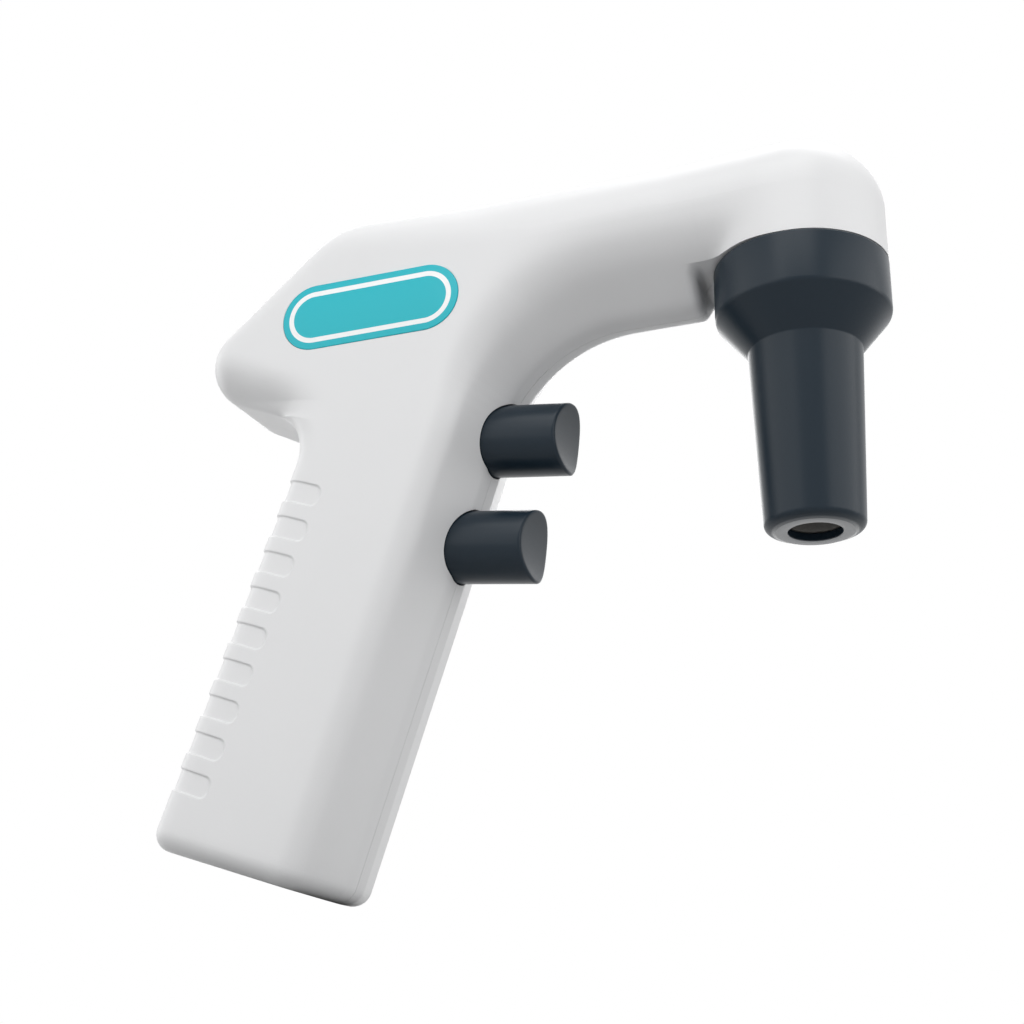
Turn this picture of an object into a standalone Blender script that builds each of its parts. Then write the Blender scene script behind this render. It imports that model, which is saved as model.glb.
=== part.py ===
"""Motorised pipette controller, built as it is put together on the bench.

Two moulded half shells hold a diaphragm pump, a valve block, two sprung
buttons, a battery pack and the socket that the nose cone screws onto.
Lengths are in metres. The pieces are laid out from the pipette's axis:
x runs forward along the arm, y to the controller's left-hand side, z up.
"""
from math import acos, atan2, ceil, cos, pi, radians, sin, sqrt, tan

import bmesh
import bpy
import numpy as np
from mathutils import Matrix, Vector

MM = 0.001
GAP = 0.3 * MM

# Housing: centre-plane outline
HALF_WIDTH = 18.0 * MM
TOP_Z = 84.4 * MM
ARM_UNDER_Z = 50.6 * MM
WEB_RADIUS = 29.5 * MM
FRONT_X = -75.7 * MM
FRONT_SLOPE = radians(18.4)
BACK_X = -118.0 * MM
BACK_SLOPE = radians(19.9)
FOOT_SLOPE = radians(17.3)
FOOT_RADIUS = 4.0 * MM
TAIL_UNDER_X = -113.5 * MM
TAIL_UNDER_Z = 37.0 * MM
TAIL_UNDER_SLOPE = radians(24.5)
TAIL_TIP_RADIUS = 9.2 * MM
TAIL_UP_SLOPE = radians(44.0)
TAIL_TOP_X = -103.2 * MM
REAR_WEB_RADIUS = 11.0 * MM
TAIL_TOP_RADIUS = 20.0 * MM

# Housing: how its sides round over
ROUND_STEPS = 4
FRONT_STEPS = 6
GRIP_EDGE = 7.0 * MM
TAIL_EDGE = 10.0 * MM
REAR_EDGE = HALF_WIDTH - 3.0 * MM
ARM_EDGE = HALF_WIDTH - 0.4 * MM
HEAD_EDGE = HALF_WIDTH - 2.5 * MM
STRIP_HALF = 3.5 * MM
FACET_ANGLE = radians(20.0)
FACET_RADIUS = 6.0 * MM
FACET_KEEL = 1.0 * MM
FLANK_HALF = 3.0 * MM
FLANK_ANGLE = radians(42.0)
FLANK_RADIUS = 12.0 * MM
FLANK_KEEL = 6.0 * MM
HEAD_BLEND = 2.0 * MM
HEAD_BLEND_LENGTH = 4.0 * MM

# Housing: walls and openings
WALL = 2.2 * MM
SEAM = 0.15 * MM
NOTCH_CLEARANCE = 2.5 * MM
NOTCH_X = -HALF_WIDTH - NOTCH_CLEARANCE
HEAD_START_X = NOTCH_X - 3.5 * MM
COLLAR_TOP_Z = 57.4 * MM
GROOVE_COUNT = 9
GROOVE_HEIGHT = 4.6 * MM
GROOVE_PITCH = 8.03 * MM
GROOVE_DEPTH = 0.7 * MM
GROOVE_REACH = 11.5 * MM
GROOVE_FIRST = 6.0 * MM

# Badge on the right-hand side
BADGE_X = -90.7 * MM
BADGE_Z = 57.1 * MM
BADGE_LENGTH = 42.0 * MM
BADGE_HEIGHT = 15.5 * MM
BADGE_THICKNESS = 0.6 * MM
BADGE_SINK = 0.8 * MM

# Nose, turned about the pipette's axis
COLLAR_RADIUS = HALF_WIDTH
COLLAR_EDGE = 0.5 * MM
COLLAR_LOW_Z = 47.6 * MM
COLLAR_BORE = COLLAR_RADIUS - 2.8 * MM
CONE_TOP_RADIUS = COLLAR_RADIUS - 1.0 * MM
CONE_TOP_Z = 45.7 * MM
TUBE_TOP_RADIUS = 11.5 * MM
TUBE_TOP_Z = 38.5 * MM
TUBE_END_RADIUS = 10.0 * MM
TUBE_EDGE = 2.75 * MM
HOLE_RADIUS = 5.4 * MM
HOLE_DEPTH = 3.0 * MM
SHOULDER_Z = 46.1 * MM
CHAMBER_RADIUS = COLLAR_BORE - 2.05 * MM
CHAMBER_FLOOR_Z = 42.8 * MM
HOLDER_BORE = 8.2 * MM
HOLDER_GRIP = 3.2 * MM
FILTER_RADIUS = CHAMBER_RADIUS - 0.45 * MM
FILTER_HEIGHT = 8.0 * MM
FILTER_WALL = 1.2 * MM
MEMBRANE_THICKNESS = 0.4 * MM
SPIGOT_RADIUS = 2.2 * MM
SPIGOT_BORE = 1.1 * MM
SPIGOT_LENGTH = 6.0 * MM
SEAL_RADIUS = COLLAR_BORE - 1.2 * MM
SEAL_WIRE = 0.85 * MM
FLANGE_RADIUS = HALF_WIDTH - 1.4 * MM
FLANGE_Z = COLLAR_TOP_Z + 1.6 * MM
FLANGE_THICKNESS = 2.4 * MM
SOCKET_WALL = 1.4 * MM
BARB_RADIUS = 2.0 * MM
BARB_LENGTH = 7.0 * MM

# Buttons, valve stems and their springs, measured inwards from a button's end
BUTTON_TILT = radians(6.27)
BUTTON_RADIUS = 7.75 * MM
BUTTON_ENDS = {"upper": (-50.24 * MM, 27.15 * MM), "lower": (-57.65 * MM, 3.97 * MM)}
BUTTON_DISH = 1.37 * MM
BUTTON_EDGE = 0.5 * MM
BUTTON_TRAVEL = 4.0 * MM
FLANGE_START = 21.3 * MM
FLANGE_END = 22.8 * MM
BUTTON_FLANGE = 9.2 * MM
STEM_RADIUS = 1.5 * MM
STEM_SOCKET = 6.0 * MM
STEM_END = 40.0 * MM
SPRING_RADIUS = 3.6 * MM
SPRING_WIRE = 0.35 * MM
SPRING_TURNS = 4.5
VALVE_START = 30.8 * MM
VALVE_DEPTH = 15.5 * MM
VALVE_SIDE = 7.5 * MM
VALVE_INNER_SIDE = 4.8 * MM
VALVE_RELIEF = 0.5 * MM
STEM_SEAL_RADIUS = 2.6 * MM
STEM_SEAL_WIRE = 0.7 * MM
PORT_RADIUS = 1.8 * MM
PORT_LENGTH = 4.0 * MM

# Circuit board and switches
BOARD_THICKNESS = 1.6 * MM
BOARD_DEPTH = 13.5 * MM
SWITCH_SIZE = (6.4 * MM, 6.0 * MM, 12.0 * MM)
BOARD_FACE_Y = VALVE_INNER_SIDE + SWITCH_SIZE[1] + GAP + 0.4 * MM
BOARD_SETBACK = 5.0 * MM
PLUNGER_RADIUS = 1.0 * MM
PLUNGER_LENGTH = 1.2 * MM

# Pump and motor, along the arm
MOTOR_RADIUS = 9.5 * MM
MOTOR_LENGTH = 26.0 * MM
MOTOR_Z = 63.5 * MM
MOTOR_FRONT_X = -84.3 * MM
MOTOR_BOSS = 3.0 * MM
MOTOR_BOSS_LENGTH = 1.2 * MM
MOTOR_EDGE = 1.0 * MM
MOTOR_BORE_DEPTH = 6.0 * MM
SHAFT_RADIUS = 1.0 * MM
CRANK_THROW = 1.0 * MM
CAM_RADIUS = 3.2 * MM
CAM_WIDTH = 4.0 * MM
CAM_START = 4.5 * MM
FRAME_LENGTH = 17.0 * MM
FRAME_HALF = 9.6 * MM
FRAME_WALL = 1.6 * MM
FRAME_TOP_Z = 72.0 * MM
FRAME_LOW_Z = 55.6 * MM
DIAPHRAGM_RADIUS = 6.2 * MM
DIAPHRAGM_THICKNESS = 1.0 * MM
PUMP_HEAD_HEIGHT = 3.8 * MM
PUMP_HEAD_HALF = 8.2 * MM
PUMP_PORT_RADIUS = 1.6 * MM
PUMP_PORT_Y = 4.0 * MM
ROD_WALL = 1.3 * MM
ROD_HOLE = 3.2 * MM

# Battery pack and charging socket, up from the grip's foot, which hangs as low as the cells need
CELL_RADIUS = 7.1 * MM
CELL_LENGTH = 43.0 * MM
FOOT_DROP = 25.2 * MM
FOOT_Z = -CELL_LENGTH - FOOT_DROP
TRAY_START = 15.0 * MM
TRAY_WALL = 1.2 * MM
TRAY_PLATE = 9.0 * MM
PACK_SETBACK = 1.0 * MM
CONTACT_THICKNESS = 0.5 * MM
CONTACT_HALF = 4.0 * MM
CELL_BUTTON_RADIUS = 2.2 * MM
CELL_BUTTON_HEIGHT = 0.8 * MM
CELL_EDGE = 0.5 * MM
JACK_SIDE = 9.0 * MM
JACK_LENGTH = 11.5 * MM
JACK_BORE = 2.9 * MM
JACK_PIN = 0.9 * MM

# Screws that close the housing, entered from the left-hand side
FOOT_SCREW_RISE = 16.7 * MM
FOOT_SCREW_BACK = 9.0 * MM
SCREW_PLACES = {
    "head": (8.5 * MM, 73.5 * MM),
    "arm": (-42.0 * MM, 72.0 * MM),
    "tail": (-124.0 * MM, 57.0 * MM),
    "web": (-111.0 * MM, 45.0 * MM),
    "foot": (BACK_X - FOOT_SCREW_BACK, FOOT_Z + FOOT_SCREW_RISE),
}
SCREW_HEAD = 2.6 * MM
SCREW_HEAD_HEIGHT = 1.8 * MM
SCREW_HEAD_EDGE = 0.4 * MM
SCREW_SHANK = 1.15 * MM
SCREW_SINK = 7.0 * MM
SCREW_DEPTH = 8.0 * MM
POST_RADIUS = 4.0 * MM

HOSE_RADIUS = 2.2 * MM

for thing in list(bpy.data.objects):
    bpy.data.objects.remove(thing, do_unlink=True)

parts = bpy.data.collections.new("pipette_controller")
tools = bpy.data.collections.new("cutters")
bpy.context.scene.collection.children.link(parts)
bpy.context.scene.collection.children.link(tools)


def finish(name, colour, roughness, metallic=0.0):
    """A plain material with the piece's own colour."""
    material = bpy.data.materials.new(name)
    material.use_nodes = True
    shader = material.node_tree.nodes["Principled BSDF"]
    shader.inputs["Base Color"].default_value = (*colour, 1.0)
    shader.inputs["Roughness"].default_value = roughness
    shader.inputs["Metallic"].default_value = metallic
    material.diffuse_color = (*colour, 1.0)
    return material


def place(name, data, material=None, parent=None):
    """Links a part, or without a material a cutter that the build leaves out."""
    thing = bpy.data.objects.new(name, data)
    if material is None:
        tools.objects.link(thing)
        thing.hide_render = True
        thing.display_type = "WIRE"
    else:
        parts.objects.link(thing)
        data.materials.append(material)
    thing.parent = parent
    return thing


def frame_at(name, location, turn=(0.0, 0.0, 0.0), parent=None):
    """An empty that carries the pieces on one axis."""
    empty = bpy.data.objects.new(name, None)
    parts.objects.link(empty)
    empty.location = location
    empty.rotation_euler = turn
    empty.parent = parent
    return empty


def mesh_from(name, bm, smooth=True):
    """Turns a bmesh into a mesh with round faces shaded smooth."""
    bmesh.ops.recalc_face_normals(bm, faces=bm.faces)
    mesh = bpy.data.meshes.new(name)
    bm.to_mesh(mesh)
    bm.free()
    if smooth:
        mesh.shade_smooth()
        mesh.set_sharp_from_angle(angle=radians(35.0))
    return mesh


def block(name, low, high, material=None, parent=None, bevel=0.0):
    """A box between two corners, its edges rounded by a Bevel."""
    low, high = Vector(low), Vector(high)
    bm = bmesh.new()
    bmesh.ops.create_cube(bm, size=1.0)
    bmesh.ops.scale(bm, vec=high - low, verts=bm.verts)
    bmesh.ops.translate(bm, vec=(high + low) / 2, verts=bm.verts)
    thing = place(name, mesh_from(name, bm, smooth=False), material, parent)
    if bevel:
        rounding = thing.modifiers.new("edges", "BEVEL")
        rounding.width = bevel
        rounding.segments = 2
    return thing


def along_axis(axis):
    """Turns a shape made about Z so that it runs along the named axis."""
    turns = {"x": Matrix.Rotation(pi / 2, 4, "Y"), "y": Matrix.Rotation(-pi / 2, 4, "X")}
    return turns.get(axis, Matrix.Identity(4))


def drum(name, radius, start, end, material=None, parent=None, axis="z", centre=(0, 0, 0), sides=24):
    """A plain cylinder from start to end along an axis."""
    bm = bmesh.new()
    bmesh.ops.create_cone(bm, cap_ends=True, segments=sides, radius1=radius, radius2=radius,
                          depth=end - start)
    bmesh.ops.translate(bm, vec=(0, 0, (start + end) / 2), verts=bm.verts)
    bmesh.ops.transform(bm, matrix=Matrix.Translation(centre) @ along_axis(axis), verts=bm.verts)
    return place(name, mesh_from(name, bm), material, parent)


def turned(name, profile, material=None, parent=None, closed=False, steps=32, turn=None):
    """Turns a profile of (radius, height) points, outer side from top to bottom."""
    mesh = bpy.data.meshes.new(name)
    edges = [(i, i + 1) for i in range(len(profile) - 1)]
    if closed:
        edges.append((len(profile) - 1, 0))
    mesh.from_pydata([(r, 0.0, z) for r, z in profile], edges, [])
    thing = place(name, mesh, material, parent)
    screw = thing.modifiers.new("turn", "SCREW")
    screw.axis = "Z"
    screw.steps = steps
    screw.render_steps = steps
    screw.use_merge_vertices = True
    screw.merge_threshold = 0.00001
    screw.use_normal_calculate = False
    if turn is not None:
        thing.matrix_local = turn
    return thing


def ring_profile(radius, wire, height, count=8):
    """A round wire's section, for a seal."""
    angles = [2 * pi * i / count for i in range(count)]
    return [(radius + wire * cos(a), height - wire * sin(a)) for a in angles]


def arc(centre, radius, start, end, count):
    """Points on an arc, both ends included, angles in degrees."""
    angles = [radians(start + (end - start) * i / count) for i in range(count + 1)]
    return [(centre[0] + radius * cos(a), centre[1] + radius * sin(a)) for a in angles]


def outline(name, points, start_y, end_y, material=None, parent=None):
    """A flat outline in the X-Z plane with a thickness along Y."""
    curve = bpy.data.curves.new(name, "CURVE")
    curve.dimensions = "2D"
    curve.fill_mode = "BOTH"
    curve.extrude = abs(end_y - start_y) / 2
    spline = curve.splines.new("POLY")
    spline.points.add(len(points) - 1)
    for point, (x, z) in zip(spline.points, points):
        point.co = (x, z, 0.0, 1.0)
    spline.use_cyclic_u = True
    upright = Matrix.Translation((0, (start_y + end_y) / 2, 0)) @ Matrix.Rotation(pi / 2, 4, "X")
    return as_mesh(name, curve, upright, material, parent)


def as_mesh(name, curve, matrix, material, parent):
    """Converts a curve to a closed mesh and drops the curve."""
    drawn = bpy.data.objects.new(name + "_curve", curve)
    tools.objects.link(drawn)
    graph = bpy.context.evaluated_depsgraph_get()
    mesh = bpy.data.meshes.new_from_object(drawn.evaluated_get(graph))
    bm = bmesh.new()
    bm.from_mesh(mesh)
    bmesh.ops.remove_doubles(bm, verts=bm.verts, dist=0.00001)
    bmesh.ops.transform(bm, matrix=matrix, verts=bm.verts)
    bpy.data.objects.remove(drawn, do_unlink=True)
    return place(name, mesh_from(name, bm), material, parent)


def wire(name, points, radius, material, parent=None, resolution=2):
    """A solid tube or wire through the given points."""
    curve = bpy.data.curves.new(name, "CURVE")
    curve.dimensions = "3D"
    curve.bevel_depth = radius
    curve.bevel_resolution = resolution
    curve.use_fill_caps = True
    spline = curve.splines.new("POLY")
    spline.points.add(len(points) - 1)
    for point, place_ in zip(spline.points, points):
        point.co = (*place_, 1.0)
    return as_mesh(name, curve, Matrix.Identity(4), material, parent)


def smooth_route(points, count):
    """Points on a smooth curve through the chosen ones, straight at both ends."""
    p = [Vector(v) for v in points]
    route = [p[0]]
    for i in range(1, len(p) - 2):
        steps = [k / count for k in range(count)]
        for t in steps:
            a = 2 * p[i]
            b = p[i + 1] - p[i - 1]
            c = 2 * p[i - 1] - 5 * p[i] + 4 * p[i + 1] - p[i + 2]
            d = -p[i - 1] + 3 * p[i] - 3 * p[i + 1] + p[i + 2]
            route.append((a + b * t + c * t * t + d * t * t * t) / 2)
    return route + p[-2:]


def combine(target, tool, operation="DIFFERENCE"):
    """Cuts, joins or trims one solid with another."""
    modifier = target.modifiers.new(tool.name, "BOOLEAN")
    modifier.operation = operation
    modifier.solver = "EXACT"
    modifier.object = tool
    return target


PALE = finish("pale_shell_plastic", (0.80, 0.80, 0.81), 0.45)
DARK = finish("dark_nose_plastic", (0.030, 0.045, 0.060), 0.38)
TEAL = finish("teal_badge_film", (0.055, 0.50, 0.59), 0.35)
SILICONE = finish("grey_silicone", (0.10, 0.11, 0.12), 0.70)
CLEAR = finish("filter_plastic", (0.85, 0.88, 0.90), 0.30)
MEMBRANE = finish("filter_membrane", (0.95, 0.95, 0.93), 0.90)
STEEL = finish("bright_steel", (0.60, 0.60, 0.62), 0.25, 1.0)
BRASS = finish("brass", (0.65, 0.48, 0.20), 0.30, 1.0)
ACETAL = finish("white_acetal", (0.78, 0.78, 0.75), 0.50)
RUBBER = finish("black_rubber", (0.020, 0.020, 0.022), 0.80)
BOARD = finish("green_board", (0.03, 0.20, 0.08), 0.55)
BLACK = finish("black_plastic", (0.020, 0.020, 0.020), 0.50)
CELL = finish("battery_sleeve", (0.05, 0.12, 0.35), 0.40)
HOSE = finish("clear_hose", (0.70, 0.74, 0.76), 0.45)


# Housing outline
def fillet_path(points, radii, step=radians(12.0)):
    """Corner points joined by straight lines, with an arc at each inner one."""
    path = [np.array(points[0], float)]
    for a, b, c, radius in zip(points[:-2], points[1:-1], points[2:], radii):
        a, b, c = (np.array(v, float) for v in (a, b, c))
        if radius <= 0:
            path.append(b)
            continue
        u = (a - b) / np.linalg.norm(a - b)
        v = (c - b) / np.linalg.norm(c - b)
        half = acos(float(u @ v)) / 2
        reach = radius / tan(half)
        centre = b + (u + v) / np.linalg.norm(u + v) * radius / sin(half)
        first, last = b + u * reach - centre, b + v * reach - centre
        start = atan2(first[1], first[0])
        turn = (atan2(last[1], last[0]) - start + pi) % (2 * pi) - pi
        count = max(2, ceil(abs(turn) / step))
        for k in range(count + 1):
            angle = start + turn * k / count
            path.append(centre + radius * np.array([cos(angle), sin(angle)]))
    path.append(np.array(points[-1], float))
    return np.array(path)


def lengths(path):
    """Distance along a path at each of its points."""
    return np.r_[0, np.cumsum(np.linalg.norm(np.diff(path, axis=0), axis=1))]


def point_at(path, distance):
    """The point that far along a path."""
    run = lengths(path)
    return np.array([np.interp(distance, run, path[:, 0]), np.interp(distance, run, path[:, 1])])


def depth_from(path, points):
    """Each point's shortest distance to a path."""
    start, step = path[:-1], np.diff(path, axis=0)
    size = (step ** 2).sum(1)
    keep = size > 0
    start, step, size = start[keep], step[keep], size[keep]
    to = points[:, None, :] - start[None]
    share = np.clip((to * step[None]).sum(2) / size[None], 0, 1)
    return np.sqrt(((to - share[..., None] * step[None]) ** 2).sum(2).min(1))


def front_line(z):
    """The grip's front edge at height z."""
    return FRONT_X + z * tan(FRONT_SLOPE)


def back_line(z):
    """The grip's back edge at height z."""
    return BACK_X + z * tan(BACK_SLOPE)


FOOT_FRONT = (front_line(FOOT_Z), FOOT_Z)
WEB_CORNER = (front_line(ARM_UNDER_Z), ARM_UNDER_Z)
_z = (FOOT_Z - (BACK_X - FOOT_FRONT[0]) * tan(FOOT_SLOPE)) / (1 + tan(BACK_SLOPE) * tan(FOOT_SLOPE))
FOOT_BACK = (back_line(_z), _z)
_z = TAIL_UNDER_Z - (BACK_X - TAIL_UNDER_X) * tan(TAIL_UNDER_SLOPE)
_z = _z / (1 + tan(BACK_SLOPE) * tan(TAIL_UNDER_SLOPE))
REAR_WEB = (back_line(_z), _z)
_x = TAIL_UNDER_Z + TAIL_UNDER_X * tan(TAIL_UNDER_SLOPE) - TOP_Z + TAIL_TOP_X * tan(TAIL_UP_SLOPE)
_x = _x / (tan(TAIL_UNDER_SLOPE) + tan(TAIL_UP_SLOPE))
TAIL_TIP = (_x, TAIL_UNDER_Z - (_x - TAIL_UNDER_X) * tan(TAIL_UNDER_SLOPE))
TAIL_TOP = (TAIL_TOP_X, TOP_Z)
HEAD_SIDE_Z = TOP_Z - HEAD_EDGE
HEAD_CORNER = (HALF_WIDTH, TOP_Z)
UNDER_END = (HALF_WIDTH, ARM_UNDER_Z)


def drawn_in(inset):
    """The outline's corners, anticlockwise from the foot's back, with every side moved inwards."""
    corners = np.array([FOOT_BACK, FOOT_FRONT, WEB_CORNER, UNDER_END, HEAD_CORNER, TAIL_TOP, TAIL_TIP,
                        REAR_WEB])
    ahead = np.roll(corners, -1, axis=0) - corners
    ahead = ahead / np.linalg.norm(ahead, axis=1)[:, None]
    after = np.stack([-ahead[:, 1], ahead[:, 0]], axis=1)
    before = np.roll(after, 1, axis=0)
    share = 1 + (after * before).sum(1)
    return corners + inset * (after + before) / share[:, None]


def tangent(corner, towards, other, radius):
    """Where the arc at a corner leaves the line towards a neighbour."""
    u = np.array(towards) - np.array(corner)
    v = np.array(other) - np.array(corner)
    u = u / np.linalg.norm(u)
    v = v / np.linalg.norm(v)
    return np.array(corner) + u * radius / tan(acos(float(u @ v)) / 2)


def smoothstep(value):
    """Eases a value between 0 and 1."""
    value = np.clip(value, 0, 1)
    return value * value * (3 - 2 * value)


def front_profile(blend, inset=0.0):
    """Half section from the front edge to the flat side: depth and half width.

    At blend 0 it is the grip's narrow strip with a facet beside it, and at
    blend 1 the arm's rounded keel with a steeper flank.
    """
    angle = FACET_ANGLE + blend * (FLANK_ANGLE - FACET_ANGLE)
    half = STRIP_HALF + blend * (FLANK_HALF - STRIP_HALF) - inset * tan(angle / 2)
    keel = FACET_KEEL + blend * (FLANK_KEEL - FACET_KEEL) - inset
    corner = FACET_RADIUS + blend * (FLANK_RADIUS - FACET_RADIUS) - inset
    side = HALF_WIDTH - inset
    reach = (side - half) * tan(angle)
    points = [(0, 0), (0, half), (reach, side), (reach + 3 * side, side)]
    return fillet_path(points, [keel, corner], radians(6.0))


def housing_stations(rows, inset):
    """Pairs of distances along the back and the front outline that face each other."""
    corners = drawn_in(inset)
    foot_back, foot_front, web_corner, under_end, head_corner, tail_top, tail_tip, rear_web = corners
    head_side = (head_corner[0], HEAD_SIDE_Z)
    rear_radius, tip_radius = REAR_WEB_RADIUS + inset, TAIL_TIP_RADIUS - inset
    top_radius, web_radius = TAIL_TOP_RADIUS - inset, WEB_RADIUS + inset
    back = fillet_path([foot_back, rear_web, tail_tip, tail_top, head_corner, head_side],
                       [rear_radius, tip_radius, top_radius, HEAD_EDGE - inset])
    front = fillet_path([foot_front, web_corner, under_end], [web_radius])

    def on(path, corner, towards, other, radius):
        spot = tangent(corner, towards, other, radius)
        return lengths(path)[np.argmin(((path - spot) ** 2).sum(1))], spot

    web_in, web_spot = on(back, rear_web, foot_back, tail_tip, rear_radius)
    web_out, _ = on(back, rear_web, tail_tip, foot_back, rear_radius)
    tip_in, _ = on(back, tail_tip, rear_web, tail_top, tip_radius)
    tip_out, _ = on(back, tail_tip, tail_top, rear_web, tip_radius)
    top_in, _ = on(back, tail_top, tail_tip, head_corner, top_radius)
    top_out, top_spot = on(back, tail_top, head_corner, tail_tip, top_radius)
    bend_in, _ = on(front, web_corner, foot_front, under_end, web_radius)
    bend_out, bend_spot = on(front, web_corner, under_end, foot_front, web_radius)
    rise = np.array([sin(FRONT_SLOPE), cos(FRONT_SLOPE)])
    level = float((web_spot - foot_front) @ rise)
    bend = bend_out - bend_in
    arm_back = top_out + bend_spot[0] - top_spot[0]
    head_back = top_out + HEAD_START_X - top_spot[0]
    head_front = bend_out + HEAD_START_X - bend_spot[0]
    stops = [
        (0.0, 0.0, 6), (web_in, level, 3), (web_out, level + 0.35 * (bend_in - level), 4),
        (tip_in, level + 0.85 * (bend_in - level), 3), ((tip_in + tip_out) / 2, bend_in + 0.08 * bend, 3),
        (tip_out, bend_in + 0.20 * bend, 5), (top_in, bend_in + 0.50 * bend, 3),
        (top_out, bend_in + 0.70 * bend, 6), (arm_back, bend_out, 3), (head_back, head_front, 0),
    ]
    pairs = []
    for (b0, f0, count), (b1, f1, _) in zip(stops[:-1], stops[1:]):
        count = max(1, round(count * rows))
        pairs += [(b0 + (b1 - b0) * k / count, f0 + (f1 - f0) * k / count) for k in range(count)]
    marks = {"tail": (web_out, tip_in, tip_out, top_out), "bend": (bend_in, bend_out)}
    return back, front, pairs, marks, top_out - top_spot[0], bend_out - bend_spot[0]


def housing_grid(rows=1.0, inset=0.0):
    """The right half's surface, drawn in by an inset, row by row from the foot to the head.

    Each row runs over the side from the back edge to the front edge. A point's
    half width is the lesser of what the rounding at the back edge and the
    facet at the front edge leave, and over the nose the head is round.
    """
    back, front, pairs, marks, back_shift, front_shift = housing_stations(rows, inset)
    side, top = HALF_WIDTH - inset, HEAD_EDGE - inset
    head = [HEAD_START_X - HEAD_START_X / 3 * k / 2 for k in range(2)]
    head += [2 * HEAD_START_X / 3 * cos(pi / 2 * k / 4) for k in range(4)]
    head += [side * sin(pi / 2 * k / 7) for k in range(8)]
    starts = [point_at(back, b) for b, _ in pairs]
    ends = [point_at(front, f) for _, f in pairs]
    for x in head:
        over = max(x - side + top, 0.0)
        starts.append(np.array([x, HEAD_SIDE_Z + sqrt(max(top ** 2 - over ** 2, 0.0))]))
        ends.append(np.array([x, ARM_UNDER_Z + inset]))
        pairs.append((back_shift + x, front_shift + x))
    pairs = np.array(pairs)
    web_out, tip_in, tip_out, top_out = marks["tail"]
    edges = np.interp(pairs[:, 0], [web_out, tip_in, tip_out, top_out],
                      [GRIP_EDGE, TAIL_EDGE, TAIL_EDGE, REAR_EDGE])
    along_arm = pairs[:, 0] - back_shift
    arm = [top_out - back_shift, 3 * HEAD_START_X, HEAD_START_X, 0.0]
    arm_edges = np.interp(along_arm, arm, [REAR_EDGE, ARM_EDGE, ARM_EDGE, HEAD_EDGE])
    edges = np.where(along_arm > arm[0], arm_edges, edges)
    bend_in, bend_out = marks["bend"]
    blends = smoothstep((pairs[:, 1] - bend_in + GRIP_EDGE) / (bend_out - bend_in + 2 * GRIP_EDGE))
    grid = []
    for start, end, edge, blend in zip(starts, ends, edges, blends):
        grid.append(housing_row(start, end, edge - inset, blend, back, front, inset))
    closing = grid[-1].copy()
    closing[:, 1] = -SEAM
    return grid + [closing]


def housing_row(start, end, edge, blend, back, front, inset):
    """One row of housing_grid."""
    side = HALF_WIDTH - inset
    span = float(np.linalg.norm(end - start))
    profile = front_profile(blend, inset)
    run = lengths(profile)
    wall = int(np.argmax(profile[:, 0] > 1e-9)) - 1
    flat = float(profile[np.argmax(profile[:, 1] > side - 1e-9), 0])
    in_head = start[0] > HEAD_START_X - 1e-6
    front_reach = min(flat, 0.5 * span)
    back_reach = min(edge, span - front_reach - MM / 2)
    if in_head:
        back_reach = start[1] - HEAD_SIDE_Z
        front_reach = span - back_reach - MM / 2
    depths = [back_reach * (1 - cos(pi / 2 * k / ROUND_STEPS)) for k in range(ROUND_STEPS + 1)]
    middle = span - back_reach - front_reach
    depths.append(back_reach + middle / 2)
    far = float(np.interp(front_reach, profile[:, 0], run))
    for k in range(FRONT_STEPS + 1):
        depths.append(span - np.interp(far + (run[wall] - far) * k / FRONT_STEPS, run, profile[:, 0]))
    shares = np.array([0.0] + depths + [span]) / max(span, 1e-9)
    spots = start + (end - start) * shares[:, None]
    x, z = spots[:, 0], spots[:, 1]
    from_back, from_front = depth_from(back, spots), depth_from(front, spots)
    by_front = np.interp(from_front, profile[:, 0], profile[:, 1])
    by_front = np.where(from_front < 1e-9, profile[wall, 1], by_front)
    if in_head:
        rise = np.clip(z - TOP_Z + inset + edge, 0, edge)
        ring = side - edge + np.sqrt(np.clip(edge ** 2 - rise ** 2, 0, None))
        by_back = np.sqrt(np.clip(ring ** 2 - np.clip(x, 0, None) ** 2, 0, None))
        by_head = np.sqrt(np.clip(side ** 2 - x ** 2, 0, None))
        fade = HEAD_BLEND * np.clip((x - HEAD_START_X) / HEAD_BLEND_LENGTH, 0, 1)
        joined = (by_front + by_head + np.sqrt((by_front - by_head) ** 2 + fade ** 2)) / 2
        by_front = np.where(x >= 0, by_head, joined)
    else:
        inside = edge - np.minimum(from_back, edge)
        by_back = side - edge + np.sqrt(np.clip(edge ** 2 - inside ** 2, 0, None))
    width = np.maximum(np.minimum(by_back, by_front), SEAM)
    width[0] = width[-1] = SEAM
    return np.stack([x, -width, z], axis=1)


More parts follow.
